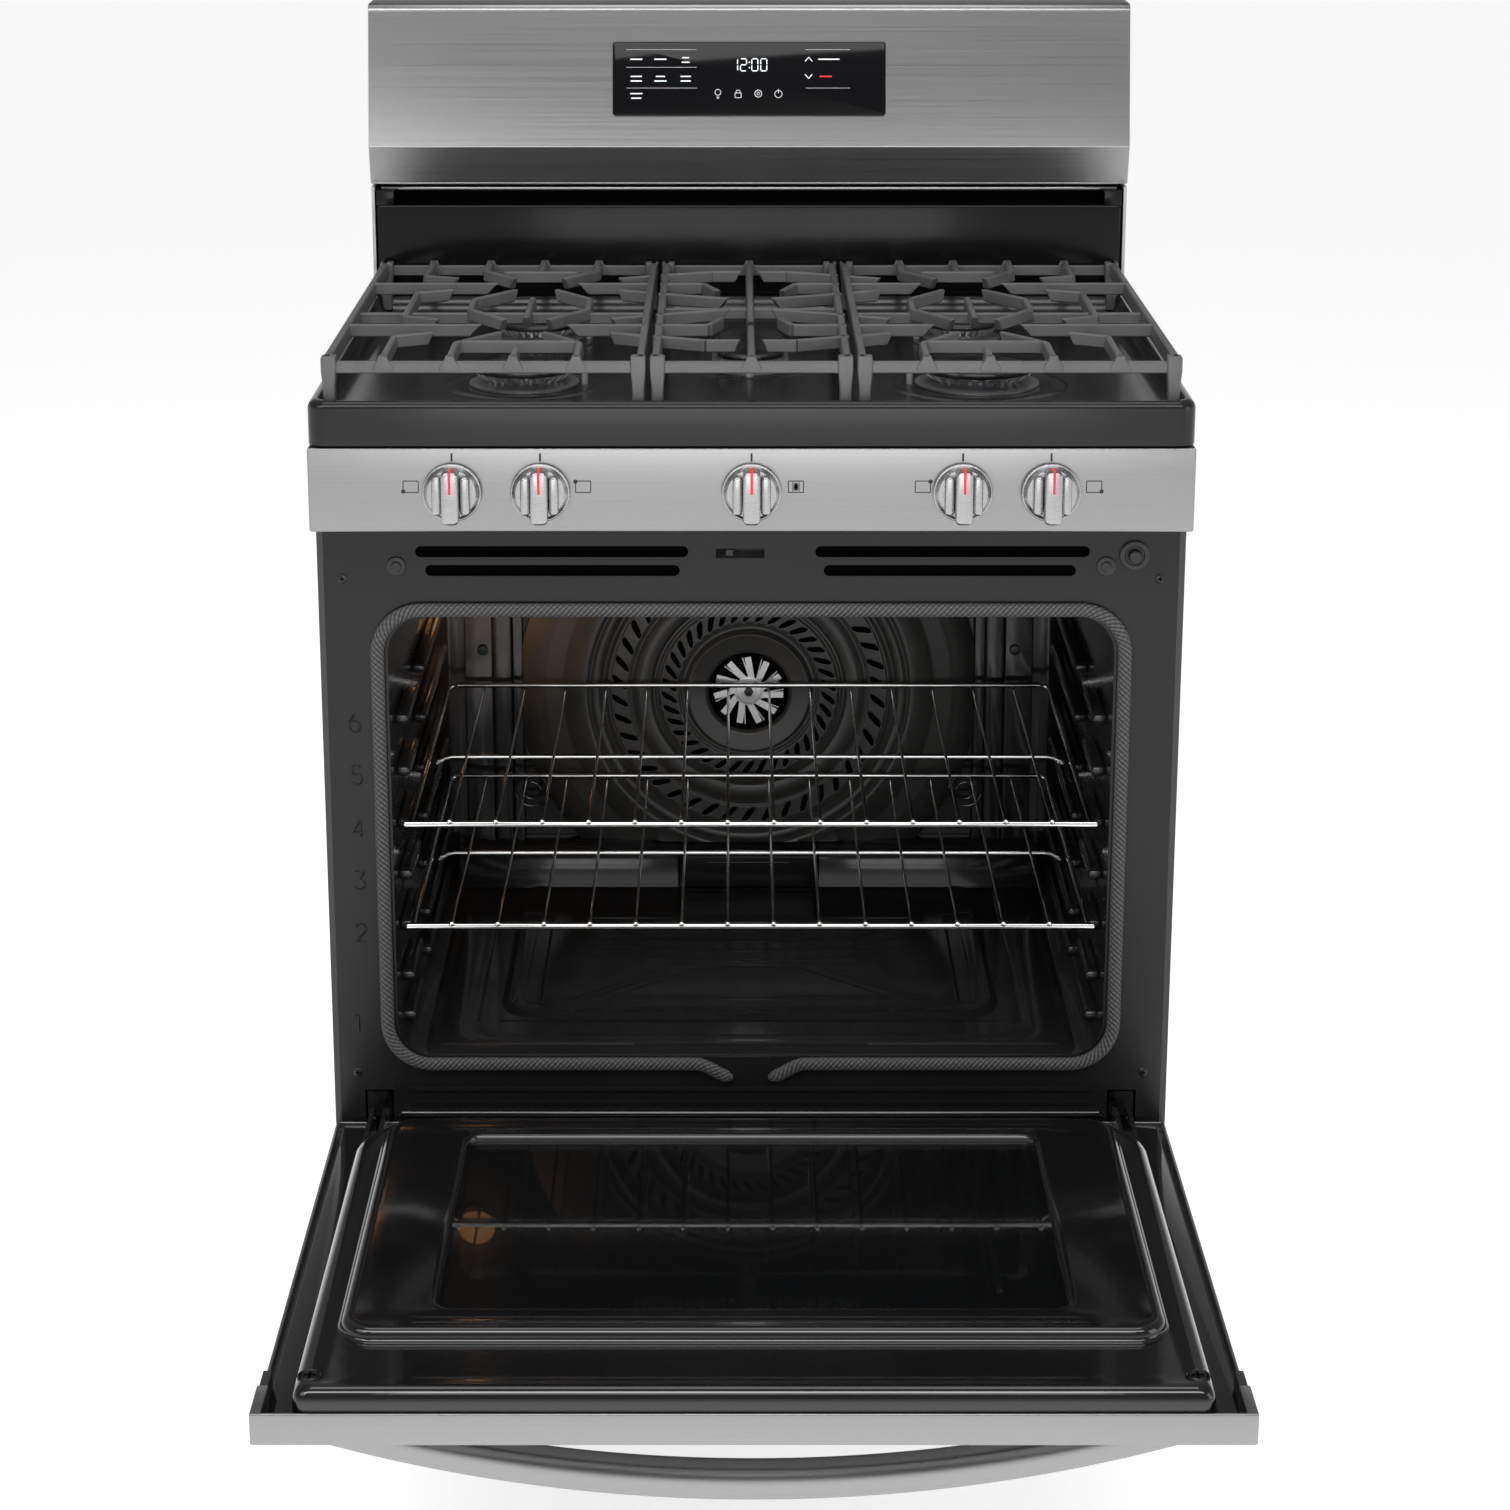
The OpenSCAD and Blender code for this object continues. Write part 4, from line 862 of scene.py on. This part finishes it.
for s in (-1, 1):
    for z in (330, 369, 418.6, 467, 516, 566, 615):
        for y0, y1 in ((frameFace + 203, frameFace + 446), (frameFace + 38, frameFace + 128)):
            x0, x1 = s * (w / 2 - wall["guideDeep"]), s * (w / 2 + 0.5)
            guides.append(softBox([min(x0, x1), y0, z - 14], [max(x0, x1), y1, z - 3.3], 4.0, "x", 5))
piece("ovenLiner", [liner] + guides, ovenEnamel, "range", ["oven_liner"])

# floor with a shallow recess for the bottom panel
floorDims = {"recessW": 512.0, "recessFront": 29.0, "recessBack": 445.0, "lineY": 6.0}
floorMid = (0, (floorDims["recessFront"] + floorDims["recessBack"]) / 2)
depth = floorDims["recessBack"] - floorDims["recessFront"]
floorRows = [(w - 44, 478 - 16, 12, 297.2), (w - 44, 478 - 16, 12, 299.4), (w - 46, 478 - 18, 12, 300),
    (floorDims["recessW"], depth, 40, 300),
             (floorDims["recessW"] - 4, depth - 4, 38, 299.4), (floorDims["recessW"] - 7, depth - 7, 37,
                 297.9)]
floorFlat = [onPlane(roundRect(a, b, c, 10), k, "z", (0, 222) if i < 3 else floorMid) for i, (a, b, c,
    k) in enumerate(floorRows)]
piece("ovenFloor", [loft(floorFlat)]
      + [rod((s * 107, floorDims["lineY"], 299.9), (s * 282, floorDims["lineY"], 299.9), 1.3,
          8) for s in (-1, 1)], ovenEnamel, "range")

# fan baffle: pressed rings, whose height follows the radius, between two rings of slanted slots
baffleY = frameFace + oven["baffle"]
fanZ = 507.0
baffleRings = [[(41, 0), (41.6, 4), (43, 7), (46, 8), (57, 8), (60, 9.5), (62, 9.5), (64, 6), (66, 2),
    (69, 2), (71, 5)],
               [(93, 5), (95, 2.4), (98, 2.2), (100, 5), (102, 6.4), (116, 6.4), (119, 3), (121, 3), (123,
                   6)],
               [(143, 6), (146, 2.5), (150, 2), (153, 5.5), (156, 7), (160, 7), (162, 5), (164, 5), (166,
                   7.6), (169, 8),
                (172, 6.6), (186, 6.2), (189, 3.2), (192, 2.4), (207, 1.2), (211, 0.4), (216, -1.5), (237,
                    -3)]]
slotRings = [{"r": (71, 93), "slot": (75, 89), "rise": 5, "count": 38, "wide": 6.4},
             {"r": (123, 143), "slot": (125.5, 140.5), "rise": 6, "count": 42, "wide": 6.8}]
slotLean = -0.7  # sideways shift of a slot for each millimetre outwards, clockwise from the front


def onBaffle(radius, angle, lift):  # polar grid on the rear wall, held inside the panel's edges
    x = np.clip(radius * np.cos(angle), -232, 232)
    z = np.clip(fanZ + radius * np.sin(angle), 345, 690)
    return np.stack([x, np.broadcast_to(baffleY - lift, x.shape), z], -1).reshape(-1, 3)


# sheared grid: cells inside a slot's pill outline are left out
def slottedAnnulus(r, slot, rise, count, wide):
    columns = 16
    ends = [0, 0.8, 2.2]
    rows = np.array([r[0], *[slot[0] + e for e in ends], *[slot[1] - e for e in ends[::-1]], r[1]])
    middle = (slot[0] + slot[1]) / 2
    angle = np.linspace(0, 2 * math.pi, count * columns,
        endpoint=False)[None] + ((rows - middle) * slotLean / middle)[:, None]
    pitch = 2 * math.pi * middle / count
    cell = (np.arange(count * columns) % columns + 0.5) / columns * pitch - pitch / 2
    halfWidth = np.array([0, 0.28, 0.42, 0.5, 0.42, 0.28, 0])[:, None] * wide
    keep = np.abs(cell)[None] > halfWidth
    quads = gridFaces(len(rows), count * columns).reshape(len(rows) - 1, -1, 4)[keep]
    return onBaffle(rows[:, None], angle, rise), quads.tolist()


def ringSheet(rows, turns=192):  # rows of (radius, rise) turned about the fan's axis
    rows = np.array(rows, float)
    angle = np.broadcast_to(np.linspace(0, 2 * math.pi, turns, endpoint=False), (len(rows), turns))
    return onBaffle(rows[:, :1], angle, rows[:, 1:]), gridFaces(len(rows), turns).tolist()


baffle = piece("fanBaffle",
    [ringSheet(rows) for rows in baffleRings] + [slottedAnnulus(**ring) for ring in slotRings],
               baffleEnamel, "range", ["fan_baffle"], 50)
thick = baffle.modifiers.new("thickness", "SOLIDIFY")
thick.thickness = 0.8 * mm
thick.offset = 0
side = []
for s in (-1, 1):
    side.append(softBox([min(s * 232, s * 243), baffleY + 3, 343], [max(s * 232, s * 243), baffleY + 8,
        696], 1.5, "y", 1.6))
    side.append(softBox([min(s * 243, s * 263), baffleY - 1, 343], [max(s * 243, s * 263), baffleY + 8,
        696], 3, "y", 4))
    side.append(softBox([min(s * 263, s * 292), baffleY + 2, 343], [max(s * 263, s * 292), baffleY + 8,
        696 if s > 0 else 600], 1.5, "y", 2))
    for r in (9.0, 17.0):
        turn = np.linspace(0, 2 * math.pi, 33)[:-1]
        side.append(tube(np.column_stack([s * 225 + r * np.cos(turn), np.full(32, baffleY + 1),
            398 + r * np.sin(turn)]),
                         1.4, 8, (0, 1, 0), True))
piece("baffleSides", side, ovenEnamel, "range")
# black disc behind the baffle, seen through its slots: painted shade
piece("baffleShadeDisc", [drum(150, baffleY + 5, baffleY + 6.5, (0, fanZ), "y", 0.5, 64)], shadeAndFritBlack, "range")
cove = np.array([(baffleY - 2, 345), (baffleY - 12, 341), (baffleY - 20, 330), (baffleY - 25, 312),
    (baffleY - 27, 301),
                 (cavityBack - 2, 301), (cavityBack - 2, 345)])
piece("rearCove", [sweepX(cove, -300, -72, 2), sweepX(cove, 72, 300, 2), sweepX(cove + [5, 0], -73, 73, 1)],
      ovenEnamel, "range")
piece("coveBox", [softBox([-70, baffleY - 30, 302], [70, baffleY - 5, 338], 3, "y", 5),
                  rod((-44, baffleY - 30, 330), (44, baffleY - 30, 330), 1.2, 8)], glossBlack, "range")

fanDims = {"blades": 11, "hub": 14.0, "reach": 36.5, "wide": 6.4, "lean": 0.42, "face": baffleY - 2}


def fanBar(start, length, angle, w, y0, y1):  # flat bar that leans from the radius, about the fan's axis
    a = np.array([start * math.cos(angle), start * math.sin(angle)])
    b = a + length * np.array([math.cos(angle + fanDims["lean"]), math.sin(angle + fanDims["lean"])])
    outline = bar2d(*a, *b, w)
    return loft([onPlane(outline, y0, "y", (0, fanZ)), onPlane(outline, y1, "y", (0, fanZ))])


face = fanDims["face"]
fan = [drum(fanDims["hub"] + 1, face + 1, face - 0.2, (0, fanZ), "y", 0.4, 40),
       spun([(15.2, face), (15.0, face - 1.2), (13.2, face - 1.4), (12.6, face - 0.2), (12.4,
           face + 0.4)], (0, fanZ), "y", 40),
       drum(7.5, face, face - 2.4, (0, fanZ), "y", 0.6, 32), drum(4, cavityBack + 30, face - 1, (0, fanZ),
           "y", 0.5, 20)]
for index in range(fanDims["blades"]):
    turn = (index + 0.3) * 2 * math.pi / fanDims["blades"]
    length = fanDims["reach"] - 12
    fan.append(fanBar(12, length, turn, fanDims["wide"], face, face + 1))
    fan.append(fanBar(17, length - 8, turn + 0.06, 2.2, face - 0.9, face + 0.2))
    fan.append(fanBar(12, length, turn + 0.16, 0.9, face + 0.2, face + 12))
piece("fanBlade", fan, fanSteel, "fan", ["fan_blade"], 30)
piece("fanNut", [drum(5, face - 2, face - 5.4, (0, fanZ), "y", 0.6, 6)], darkMetal, "fan")

# bottom panel: pressed shapes raised as a height over the sheet
low, high = boxOf("oven_bottom")
panel = {"w": 470.0, "front": 66.0, "back": 438.0, "z": 300.6}
gx, gy = np.meshgrid(np.linspace(-1, 1, 281), np.linspace(0, 1, 223))
px, py = gx * panel["w"] / 2, panel["front"] + gy * (panel["back"] - panel["front"])


def ridge(distance, width, tall):  # smooth rounded ridge across a signed distance
    return tall * np.exp(-(distance / width) ** 2)


corner = 46.0
middleY = (panel["front"] + panel["back"]) / 2
outX = np.abs(px) - (panel["w"] / 2 - corner)
outY = np.abs(py - middleY) - ((panel["back"] - panel["front"]) / 2 - corner)
edge = corner - np.hypot(np.maximum(outX, 0), np.maximum(outY, 0)) - np.minimum(np.maximum(outX, outY), 0)


def step(distance, width):  # smooth rise from nought to one across a signed distance
    t = np.clip(distance / width + 0.5, 0, 1)
    return t * t * (3 - 2 * t)


height = 3.4 * step(edge - 4, 8) + ridge(edge - 9, 2.6, 1.2) - 1.6 * step(edge - 24, 7)
bowHalf = np.interp(py, [112, 193, 270, 364], [150, 60, 60, 150])
inFront = step(py - 116, 6) * step(193 - py, 6)
height += 1.5 * inFront * step(bowHalf - 12 - np.abs(px), 6)
height += 1.3 * step(bowHalf + 46 - np.abs(px), 8) * step(py - 205, 8) * step(330 - py, 8)
for line in (212, 236, 262, 290):
    height += ridge(py - line - 0.08 * np.abs(px), 2.4, 1.1) * step(150 - np.abs(px), 20)
for k in range(2):
    height += ridge(np.abs(px) - bowHalf - 8 - k * 14, 2.2, 1.2) * step(190 - py, 10) * step(py - 112, 10)
hole = step(14 - np.abs(np.abs(px) - 213), 4) * step(py - 111, 5) * step(339 - py, 5)
height -= 3.2 * hole
for k in range(-6, 6):
    height += 1.3 * step(15 - np.abs(px - 33 * k - 16.5),
        3) * step(2.6 - np.abs(py - panel["front"] - 17), 2)
z = 298.7 + height
top = np.stack([px, py, z], -1).reshape(-1, 3)
bottom = np.stack([px, py, np.full_like(z, 298.4)], -1).reshape(-1, 3)
n, m = px.shape
topFaces = gridFaces(n, m, False)
rim = np.concatenate([np.arange(m), np.arange(1, n) * m + m - 1, (n - 1) * m + np.arange(m - 2, -1, -1),
    np.arange(n - 2, 0, -1) * m])
rimFaces = np.stack([rim, np.roll(rim, -1), np.roll(rim, -1) + n * m, rim + n * m], -1)
piece("ovenBottom", (np.concatenate([top, bottom]),
    np.concatenate([topFaces, topFaces[:, ::-1] + n * m, rimFaces]).tolist()),
      ovenEnamel, "oven_floor", ["oven_bottom"], 50)
print("oven done")

# racks
rackDims = {"half": 313.5, "wire": 1.45, "bar": 3.0, "gap": 41.6, "railX": 306.0}


def rackParts(z):
    y0, y1 = frameFace + 15, frameFace + 452
    half = rackDims["half"]
    parts = [rod((-half, y0, z), (half, y0, z), 3.1, 14), rod((-300, y1, z), (300, y1, z), 2.9, 12)]
    midX = np.concatenate([[-300, -296, -291], np.linspace(-285, 285, 5), [291, 296, 300]])
    midZ = np.concatenate([[z - 9, z - 6.5, z - 3.4], np.full(5, z - 2.4), [z - 3.4, z - 6.5, z - 9]])
    parts.append(tube(np.column_stack([midX, np.full(11, y0 + 205), midZ]), 2.6, 12, (0, 1, 0)))
    for s in (-1, 1):
        parts.append(rod((s * rackDims["railX"], y0 + 2, z - 0.2), (s * rackDims["railX"], y1 - 6,
            z - 0.2), 2.7, 12))
        parts.append(rod((s * 298, y1 - 1, z), (s * rackDims["railX"], y1 - 7, z), 2.7, 12))
    for i in np.arange(-6.5, 7, 1):
        x = i * rackDims["gap"]
        parts.append(rod((x, y0 - 2.2, z + 2.6), (x, y1 - 1, z - 2.6), rackDims["wire"], 8))
        parts.append(spun([(0.4, y0 - 4.8), (2.2, y0 - 4.2), (2.8, y0 - 2.4), (2.6, y0 + 0.6), (1.4,
            y0 + 3)], (x, z + 2.9), "y", 12))
    return parts


for name, body in (("rack_lower", "lower_rack"), ("rack_upper", "upper_rack")):
    low, high = boxOf(name)
    piece(name.replace("_", "") + "Wires", rackParts(low[2] + 5.5), chrome, body, [name], 60)
print("racks done")

# door
low, high = boxOf("door_skin")
doorLow = low[1]
skinZ = low[2]
doorDims = {"flange": 270.0, "plateau": 278.0, "edge": 347.0, "near": -84.0, "plateW": 636.0,
    "plateNear": -110.0, "plateFar": -505.0,
            "glassW": 496.0, "glassNear": -145.0, "glassFar": -466.0}
skinEdge = skinZ + 9.5
skinDims = {"lipW": 3.2, "gap": 4.0, "cornerLong": 46.0, "capLong": 28.0, "windowW": 500.0,
    "windowNear": -128.0, "windowFar": -438.0}
windowMid = (0, (skinDims["windowNear"] + skinDims["windowFar"]) / 2)
windowD = skinDims["windowNear"] - skinDims["windowFar"]
skinMid = (0, (high[1] + doorLow) / 2)
skinW, skinD = high[0] - low[0], high[1] - doorLow
plateRows = [(skinW - 6, skinD - 6, 3, skinZ, skinMid), (skinW - 0.8, skinD - 0.8, 3, skinZ, skinMid),
    (skinW, skinD, 3, skinZ + 0.5, skinMid), (skinW, skinD, 3, skinZ + 1.2, skinMid),
             (skinDims["windowW"], windowD, 14, skinZ + 1.2, windowMid), (skinDims["windowW"], windowD,
                 14, skinZ + 0.4, windowMid),
             (skinDims["windowW"] + 0.8, windowD + 0.8, 14, skinZ, windowMid),
             (skinDims["windowW"] + 6, windowD + 6, 17, skinZ, windowMid)]
plateRings = np.array([onPlane(roundRect(a, b, c, 6), k, "z", m) for a, b, c, k, m in plateRows])
parts = [loft(np.concatenate([plateRings, plateRings[:1]]), False),
         softBox([low[0], doorLow, skinZ], [high[0], doorLow + 3.0, high[2]], 1.2, "z", 1.4),
         softBox([low[0] + 2, high[1] - 2.2, skinZ + 0.6], [high[0] - 2, high[1], skinEdge], 0.6, "z", 0.9)]
dark, caps = [], []
for s in (-1, 1):
    outer = s * high[0]
    parts.append(softBox([min(outer, outer - s * skinDims["lipW"]), doorLow + 2, skinZ + 0.6],
                         [max(outer, outer - s * skinDims["lipW"]), high[1] - 1, skinEdge], 0.9, "z", 1.2))
    parts.append(softBox([min(outer, outer - s * 9), doorLow + 2, skinZ + 1], [max(outer, outer - s * 9),
        doorLow + skinDims["cornerLong"], high[2] - 0.6],
                         0.7, "z", 1.0))
    far = doorLow + skinDims["cornerLong"]
    caps.append(softBox([min(outer - s, outer - s * 8), far + 0.6, skinZ + 1],
        [max(outer - s, outer - s * 8), far + skinDims["capLong"], high[2] - 3],
                        0.8, "z", 1.2))
    edge = outer - s * (skinDims["lipW"] + skinDims["gap"])
    dark.append(softBox([min(edge, s * 345), doorLow + 4, skinZ + 2], [max(edge, s * 345), high[1] - 4,
        skinEdge - 1.6], 1.4, "z", 2.0))
piece("doorSkin", parts, steel, "door", ["door_skin"])
piece("doorSideSkirt", dark, doorEnamel, "door")
piece("doorEndCaps", caps, plastic, "door")


def doorOutline(inset, steps=8):  # flange outline with long rounded notches beside the hinges
    far, near, e = doorLow + 3.5, doorDims["near"], doorDims["edge"]
    s = np.linspace(0, 1, steps)
    corner = 10.0
    t = np.linspace(0, math.pi / 2, 5)
    farCorner = np.stack([e - corner + corner * np.cos(t[::-1]) ,
        far + corner - corner * np.sin(t[::-1])], -1)
    notchX = 272 + (e - 272) * np.sin(s * math.pi / 2) ** 1.1
    notchY = near - (150 + near) * (1 - np.cos(s * math.pi / 2)) ** 1.1
    halfOutline = np.concatenate([farCorner, np.stack([notchX, notchY], -1)[::-1]])
    outline = np.concatenate([halfOutline, (halfOutline * [-1, 1])[::-1]])
    middle = np.array([0, (far + near) / 2])
    span = np.array([e, (near - far) / 2])
    return middle + (outline - middle) * (1 - inset / span)


t = np.linspace(0, math.pi / 2, 5)
fold = 12.0
panelRings = [onPlane(doorOutline(0), skinEdge + 0.1), onPlane(doorOutline(0), 252.6),
    onPlane(doorOutline(0), doorDims["flange"] - fold)]
panelRings += [onPlane(doorOutline(0.8 * fold * (1 - math.cos(a))),
    doorDims["flange"] - fold + fold * math.sin(a))
               for a in np.linspace(0, math.pi / 2, 9)[1:]]
panelRings += [onPlane(doorOutline(14), doorDims["flange"] - 0.4), onPlane(doorOutline(18),
    doorDims["flange"] - 1.0),
               onPlane(doorOutline(26), doorDims["flange"] - 1.2)]
piece("doorInnerPanel", loft(panelRings), doorEnamel, "door", ["door_inner_panel"], 50)
plateMid = (0, (doorDims["plateNear"] + doorDims["plateFar"]) / 2)
plateD = doorDims["plateNear"] - doorDims["plateFar"]
glassMid = (0, (doorDims["glassNear"] + doorDims["glassFar"]) / 2)
glassD = doorDims["glassNear"] - doorDims["glassFar"]
rise = doorDims["plateau"]
bevel = {"out": 13.0, "tall": 7.6}
raised = [(doorDims["plateW"] + 12, plateD + 14, 30, 268.6, plateMid), (doorDims["plateW"] + 8,
    plateD + 10, 28, 269.4, plateMid)]
for a in np.linspace(0.08, math.pi / 2, 9):
    grow = bevel["out"] * (math.cos(a) - 0.5)
    raised.append((doorDims["plateW"] + grow, plateD + grow, 24 + grow / 2,
        rise - bevel["tall"] * (1 - math.sin(a)), plateMid))
raised += [(doorDims["plateW"] - 17, plateD - 16, 22, rise - 0.5, plateMid), (doorDims["plateW"] - 21,
    plateD - 20, 20, rise - 1.0, plateMid),
           (doorDims["glassW"] + 14, glassD + 16, 20, rise - 1.0, glassMid), (doorDims["glassW"] + 10,
               glassD + 12, 18, rise - 0.6, glassMid),
           (doorDims["glassW"] + 6, glassD + 8, 17, rise - 0.9, glassMid), (doorDims["glassW"] + 3,
               glassD + 4, 16, rise - 2.0, glassMid),
           (doorDims["glassW"] + 1, glassD + 1, 14, rise - 4.4, glassMid), (doorDims["glassW"], glassD,
               13, rise - 6.2, glassMid),
           (doorDims["glassW"] - 1, glassD - 1, 13, 266.5, glassMid), (doorDims["plateW"] - 4, plateD - 4,
               22, 266.5, plateMid)]
raisedRings = np.array([onPlane(roundRect(a, b, c, 10), k, "z", m) for a, b, c, k, m in raised])
points, faces = loft(np.concatenate([raisedRings, raisedRings[:1]]), False)
piece("doorRaisedFrame", (points, faces), doorEnamel, "door", (), 50)
glassRows = [(doorDims["glassW"] + 6, glassD + 6, 14, 267.4), (doorDims["glassW"] + 6, glassD + 6, 14,
    271.2)]
piece("doorGlassInner", shell(glassRows, "z", glassMid, 10), windowGlass, "door",
    ["door_glass_inner"])
border = np.array([onPlane(roundRect(a, b, c, 8), k, "z", glassMid) for a, b, c, k in
                   [(doorDims["glassW"], glassD, 12, 267.0), (462, 290, 8, 267.0), (462, 290, 8, 266.4),
                       (doorDims["glassW"], glassD, 12, 266.4)]])
points, faces = loft(np.concatenate([border, border[:1]]), False)
piece("glassBorder", (points, faces), shadeAndFritBlack, "door")

low, high = boxOf("door_handle")
handle = {"bow": 1150.0, "tall": 28.0, "deep": 30.0, "low": 159.2, "reach": 368.0}
handleY = doorLow + 45
across = np.linspace(-1, 1, 61)
x = across * handle["reach"]
z = handle["low"] + handle["tall"] / 2 + handle["bow"] - np.sqrt(handle["bow"] ** 2 - x ** 2)
section = roundRect(handle["deep"], handle["tall"], 11.5, 6)
clipped = []
for xi, zi in zip(x, z):
    ringZ = np.minimum(zi + section[:, 1], skinZ - 0.15)
    clipped.append(np.column_stack([np.full(len(section), xi), handleY + section[:, 0], np.minimum(ringZ,
        skinZ - 0.15)]))
lip = [softBox([s * 331 - 37, handleY - 15.5, skinZ - 3], [s * 331 + 37, handleY + 15.5, skinZ], 1.0, "z",
    9) for s in (-1, 1)]
screws, slots = [], []
for s in (-1, 1):
    at = (s * 335, doorLow + 29)
    screws.append(spun([(9.5, 267.0), (9.5, 269.8), (8.8, 270.3), (7.8, 269.6), (7.2, 269.1), (6.4,
        269.9), (0.02, 270.2)], at, "z", 32))
    # flat dark cross on each handle screw: painted shade of its slot
    slots += [softBox([at[0] - a, at[1] - b, 269.8], [at[0] + a, at[1] + b, 270.4], 0.1) for a,
        b in ((4.6, 1.0), (1.0, 4.6))]
piece("doorHandle", [loft(clipped)] + lip, steel, "door", ["door_handle"])
piece("handleScrews", screws, darkMetal, "door")
piece("handleScrewSlotShade", slots, shadeAndFritBlack, "door")
print("door done")

# drawer
low, high = boxOf("drawer_front")
piece("drawerFront", [softBox(low, high, 3.0, "y", 3.0)], steel, "drawer",
    ["drawer_front"])

# camera, floor and lights
camera = {"at": (-0.0146, -2.826, 1.486), "down": 15.17, "focal": 3317.0, "shift": (0.0136, -0.1)}
camData = bpy.data.cameras.new("camera")
camData.sensor_width = 36.0
camData.lens = camera["focal"] / 1510 * 36
camData.shift_x, camData.shift_y = camera["shift"]
camData.clip_start, camData.clip_end = 0.05, 60
camObject = bpy.data.objects.new("camera", camData)
camObject.location = camera["at"]
camObject.rotation_euler = (math.radians(90 - camera["down"]), 0, 0)
scene.collection.objects.link(camObject)
scene.camera = camObject

floorMaterial = newMaterial("studio floor", (0.86, 0.86, 0.86), 0.8, 0.0, 0.0, 0.1, 0.1)
floorShader = floorMaterial.node_tree.nodes["Principled BSDF"]
floorShader.inputs["Emission Color"].default_value = (1, 1, 1, 1)
floorShader.inputs["Emission Strength"].default_value = 0.72
mesh = bpy.data.meshes.new("studioFloor")
mesh.from_pydata([(-60, -60, 0), (60, -60, 0), (60, 60, 0), (-60, 60, 0)], [], [(0, 1, 2, 3)])
mesh.materials.append(floorMaterial)
floorObject = bpy.data.objects.new("studioFloor", mesh)
scene.collection.objects.link(floorObject)

world = bpy.data.worlds.new("studio")
scene.world = world
world.use_nodes = True
skyTree = world.node_tree
skyWhere = skyTree.nodes.new("ShaderNodeTexCoord")
skyAxes = skyTree.nodes.new("ShaderNodeSeparateXYZ")
skyRamp = skyTree.nodes.new("ShaderNodeValToRGB")
skyTree.links.new(skyWhere.outputs["Generated"], skyAxes.inputs["Vector"])
skyTree.links.new(skyAxes.outputs["Z"], skyRamp.inputs["Fac"])
skyTree.links.new(skyRamp.outputs["Color"], skyTree.nodes["Background"].inputs["Color"])
skyRamp.color_ramp.elements[0].position = 0.0
skyRamp.color_ramp.elements[0].color = (1.0, 1.0, 1.0, 1)
skyRamp.color_ramp.elements[1].position = 1.0
skyRamp.color_ramp.elements[1].color = (0.3, 0.3, 0.3, 1)
for spot, level in ((0.10, 0.82), (0.30, 0.22), (0.75, 0.16)):
    skyPoint = skyRamp.color_ramp.elements.new(spot)
    skyPoint.color = (level, level, level, 1)
skyTree.nodes["Background"].inputs["Strength"].default_value = 1.0


def areaLight(name, at, target, size, power, mirrored=True, colour=(1, 1, 1)):
    light = bpy.data.lights.new(name, "AREA")
    light.shape = "RECTANGLE"
    light.size, light.size_y = size
    light.energy = power
    light.color = colour
    obj = bpy.data.objects.new(name, light)
    obj.location = at
    obj.rotation_euler = (Vector(target) - Vector(at)).to_track_quat("-Z", "Y").to_euler()
    obj.visible_glossy = mirrored
    scene.collection.objects.link(obj)


areaLight("keyLight", (-2.4, -2.0, 3.2), (0, 0, 0.7), (2.0, 1.6), 20)
areaLight("stripLight", (0, -1.9, 3.3), (0, -0.4, 0.3), (4.2, 0.7), 56)
areaLight("fillLight", (3.4, -1.4, 1.8), (0, 0, 0.7), (1.6, 2.0), 16)
areaLight("ovenFill", (0, -1.0, 1.0), (0, 0.6, 0.42), (0.9, 0.4), 2.6)
areaLight("topLight", (0, 0.4, 3.2), (0, 0, 0.9), (2.2, 1.2), 16)
lamp = bpy.data.lights.new("ovenLamp", "POINT")
lamp.energy = 0.55
lamp.color = (1.0, 0.62, 0.32)
lamp.shadow_soft_size = 0.02
lampObject = bpy.data.objects.new("ovenLamp", lamp)
lampObject.location = (-0.285, 0.40, 0.64)
lampObject.visible_glossy = False
scene.collection.objects.link(lampObject)
print("stage ready")
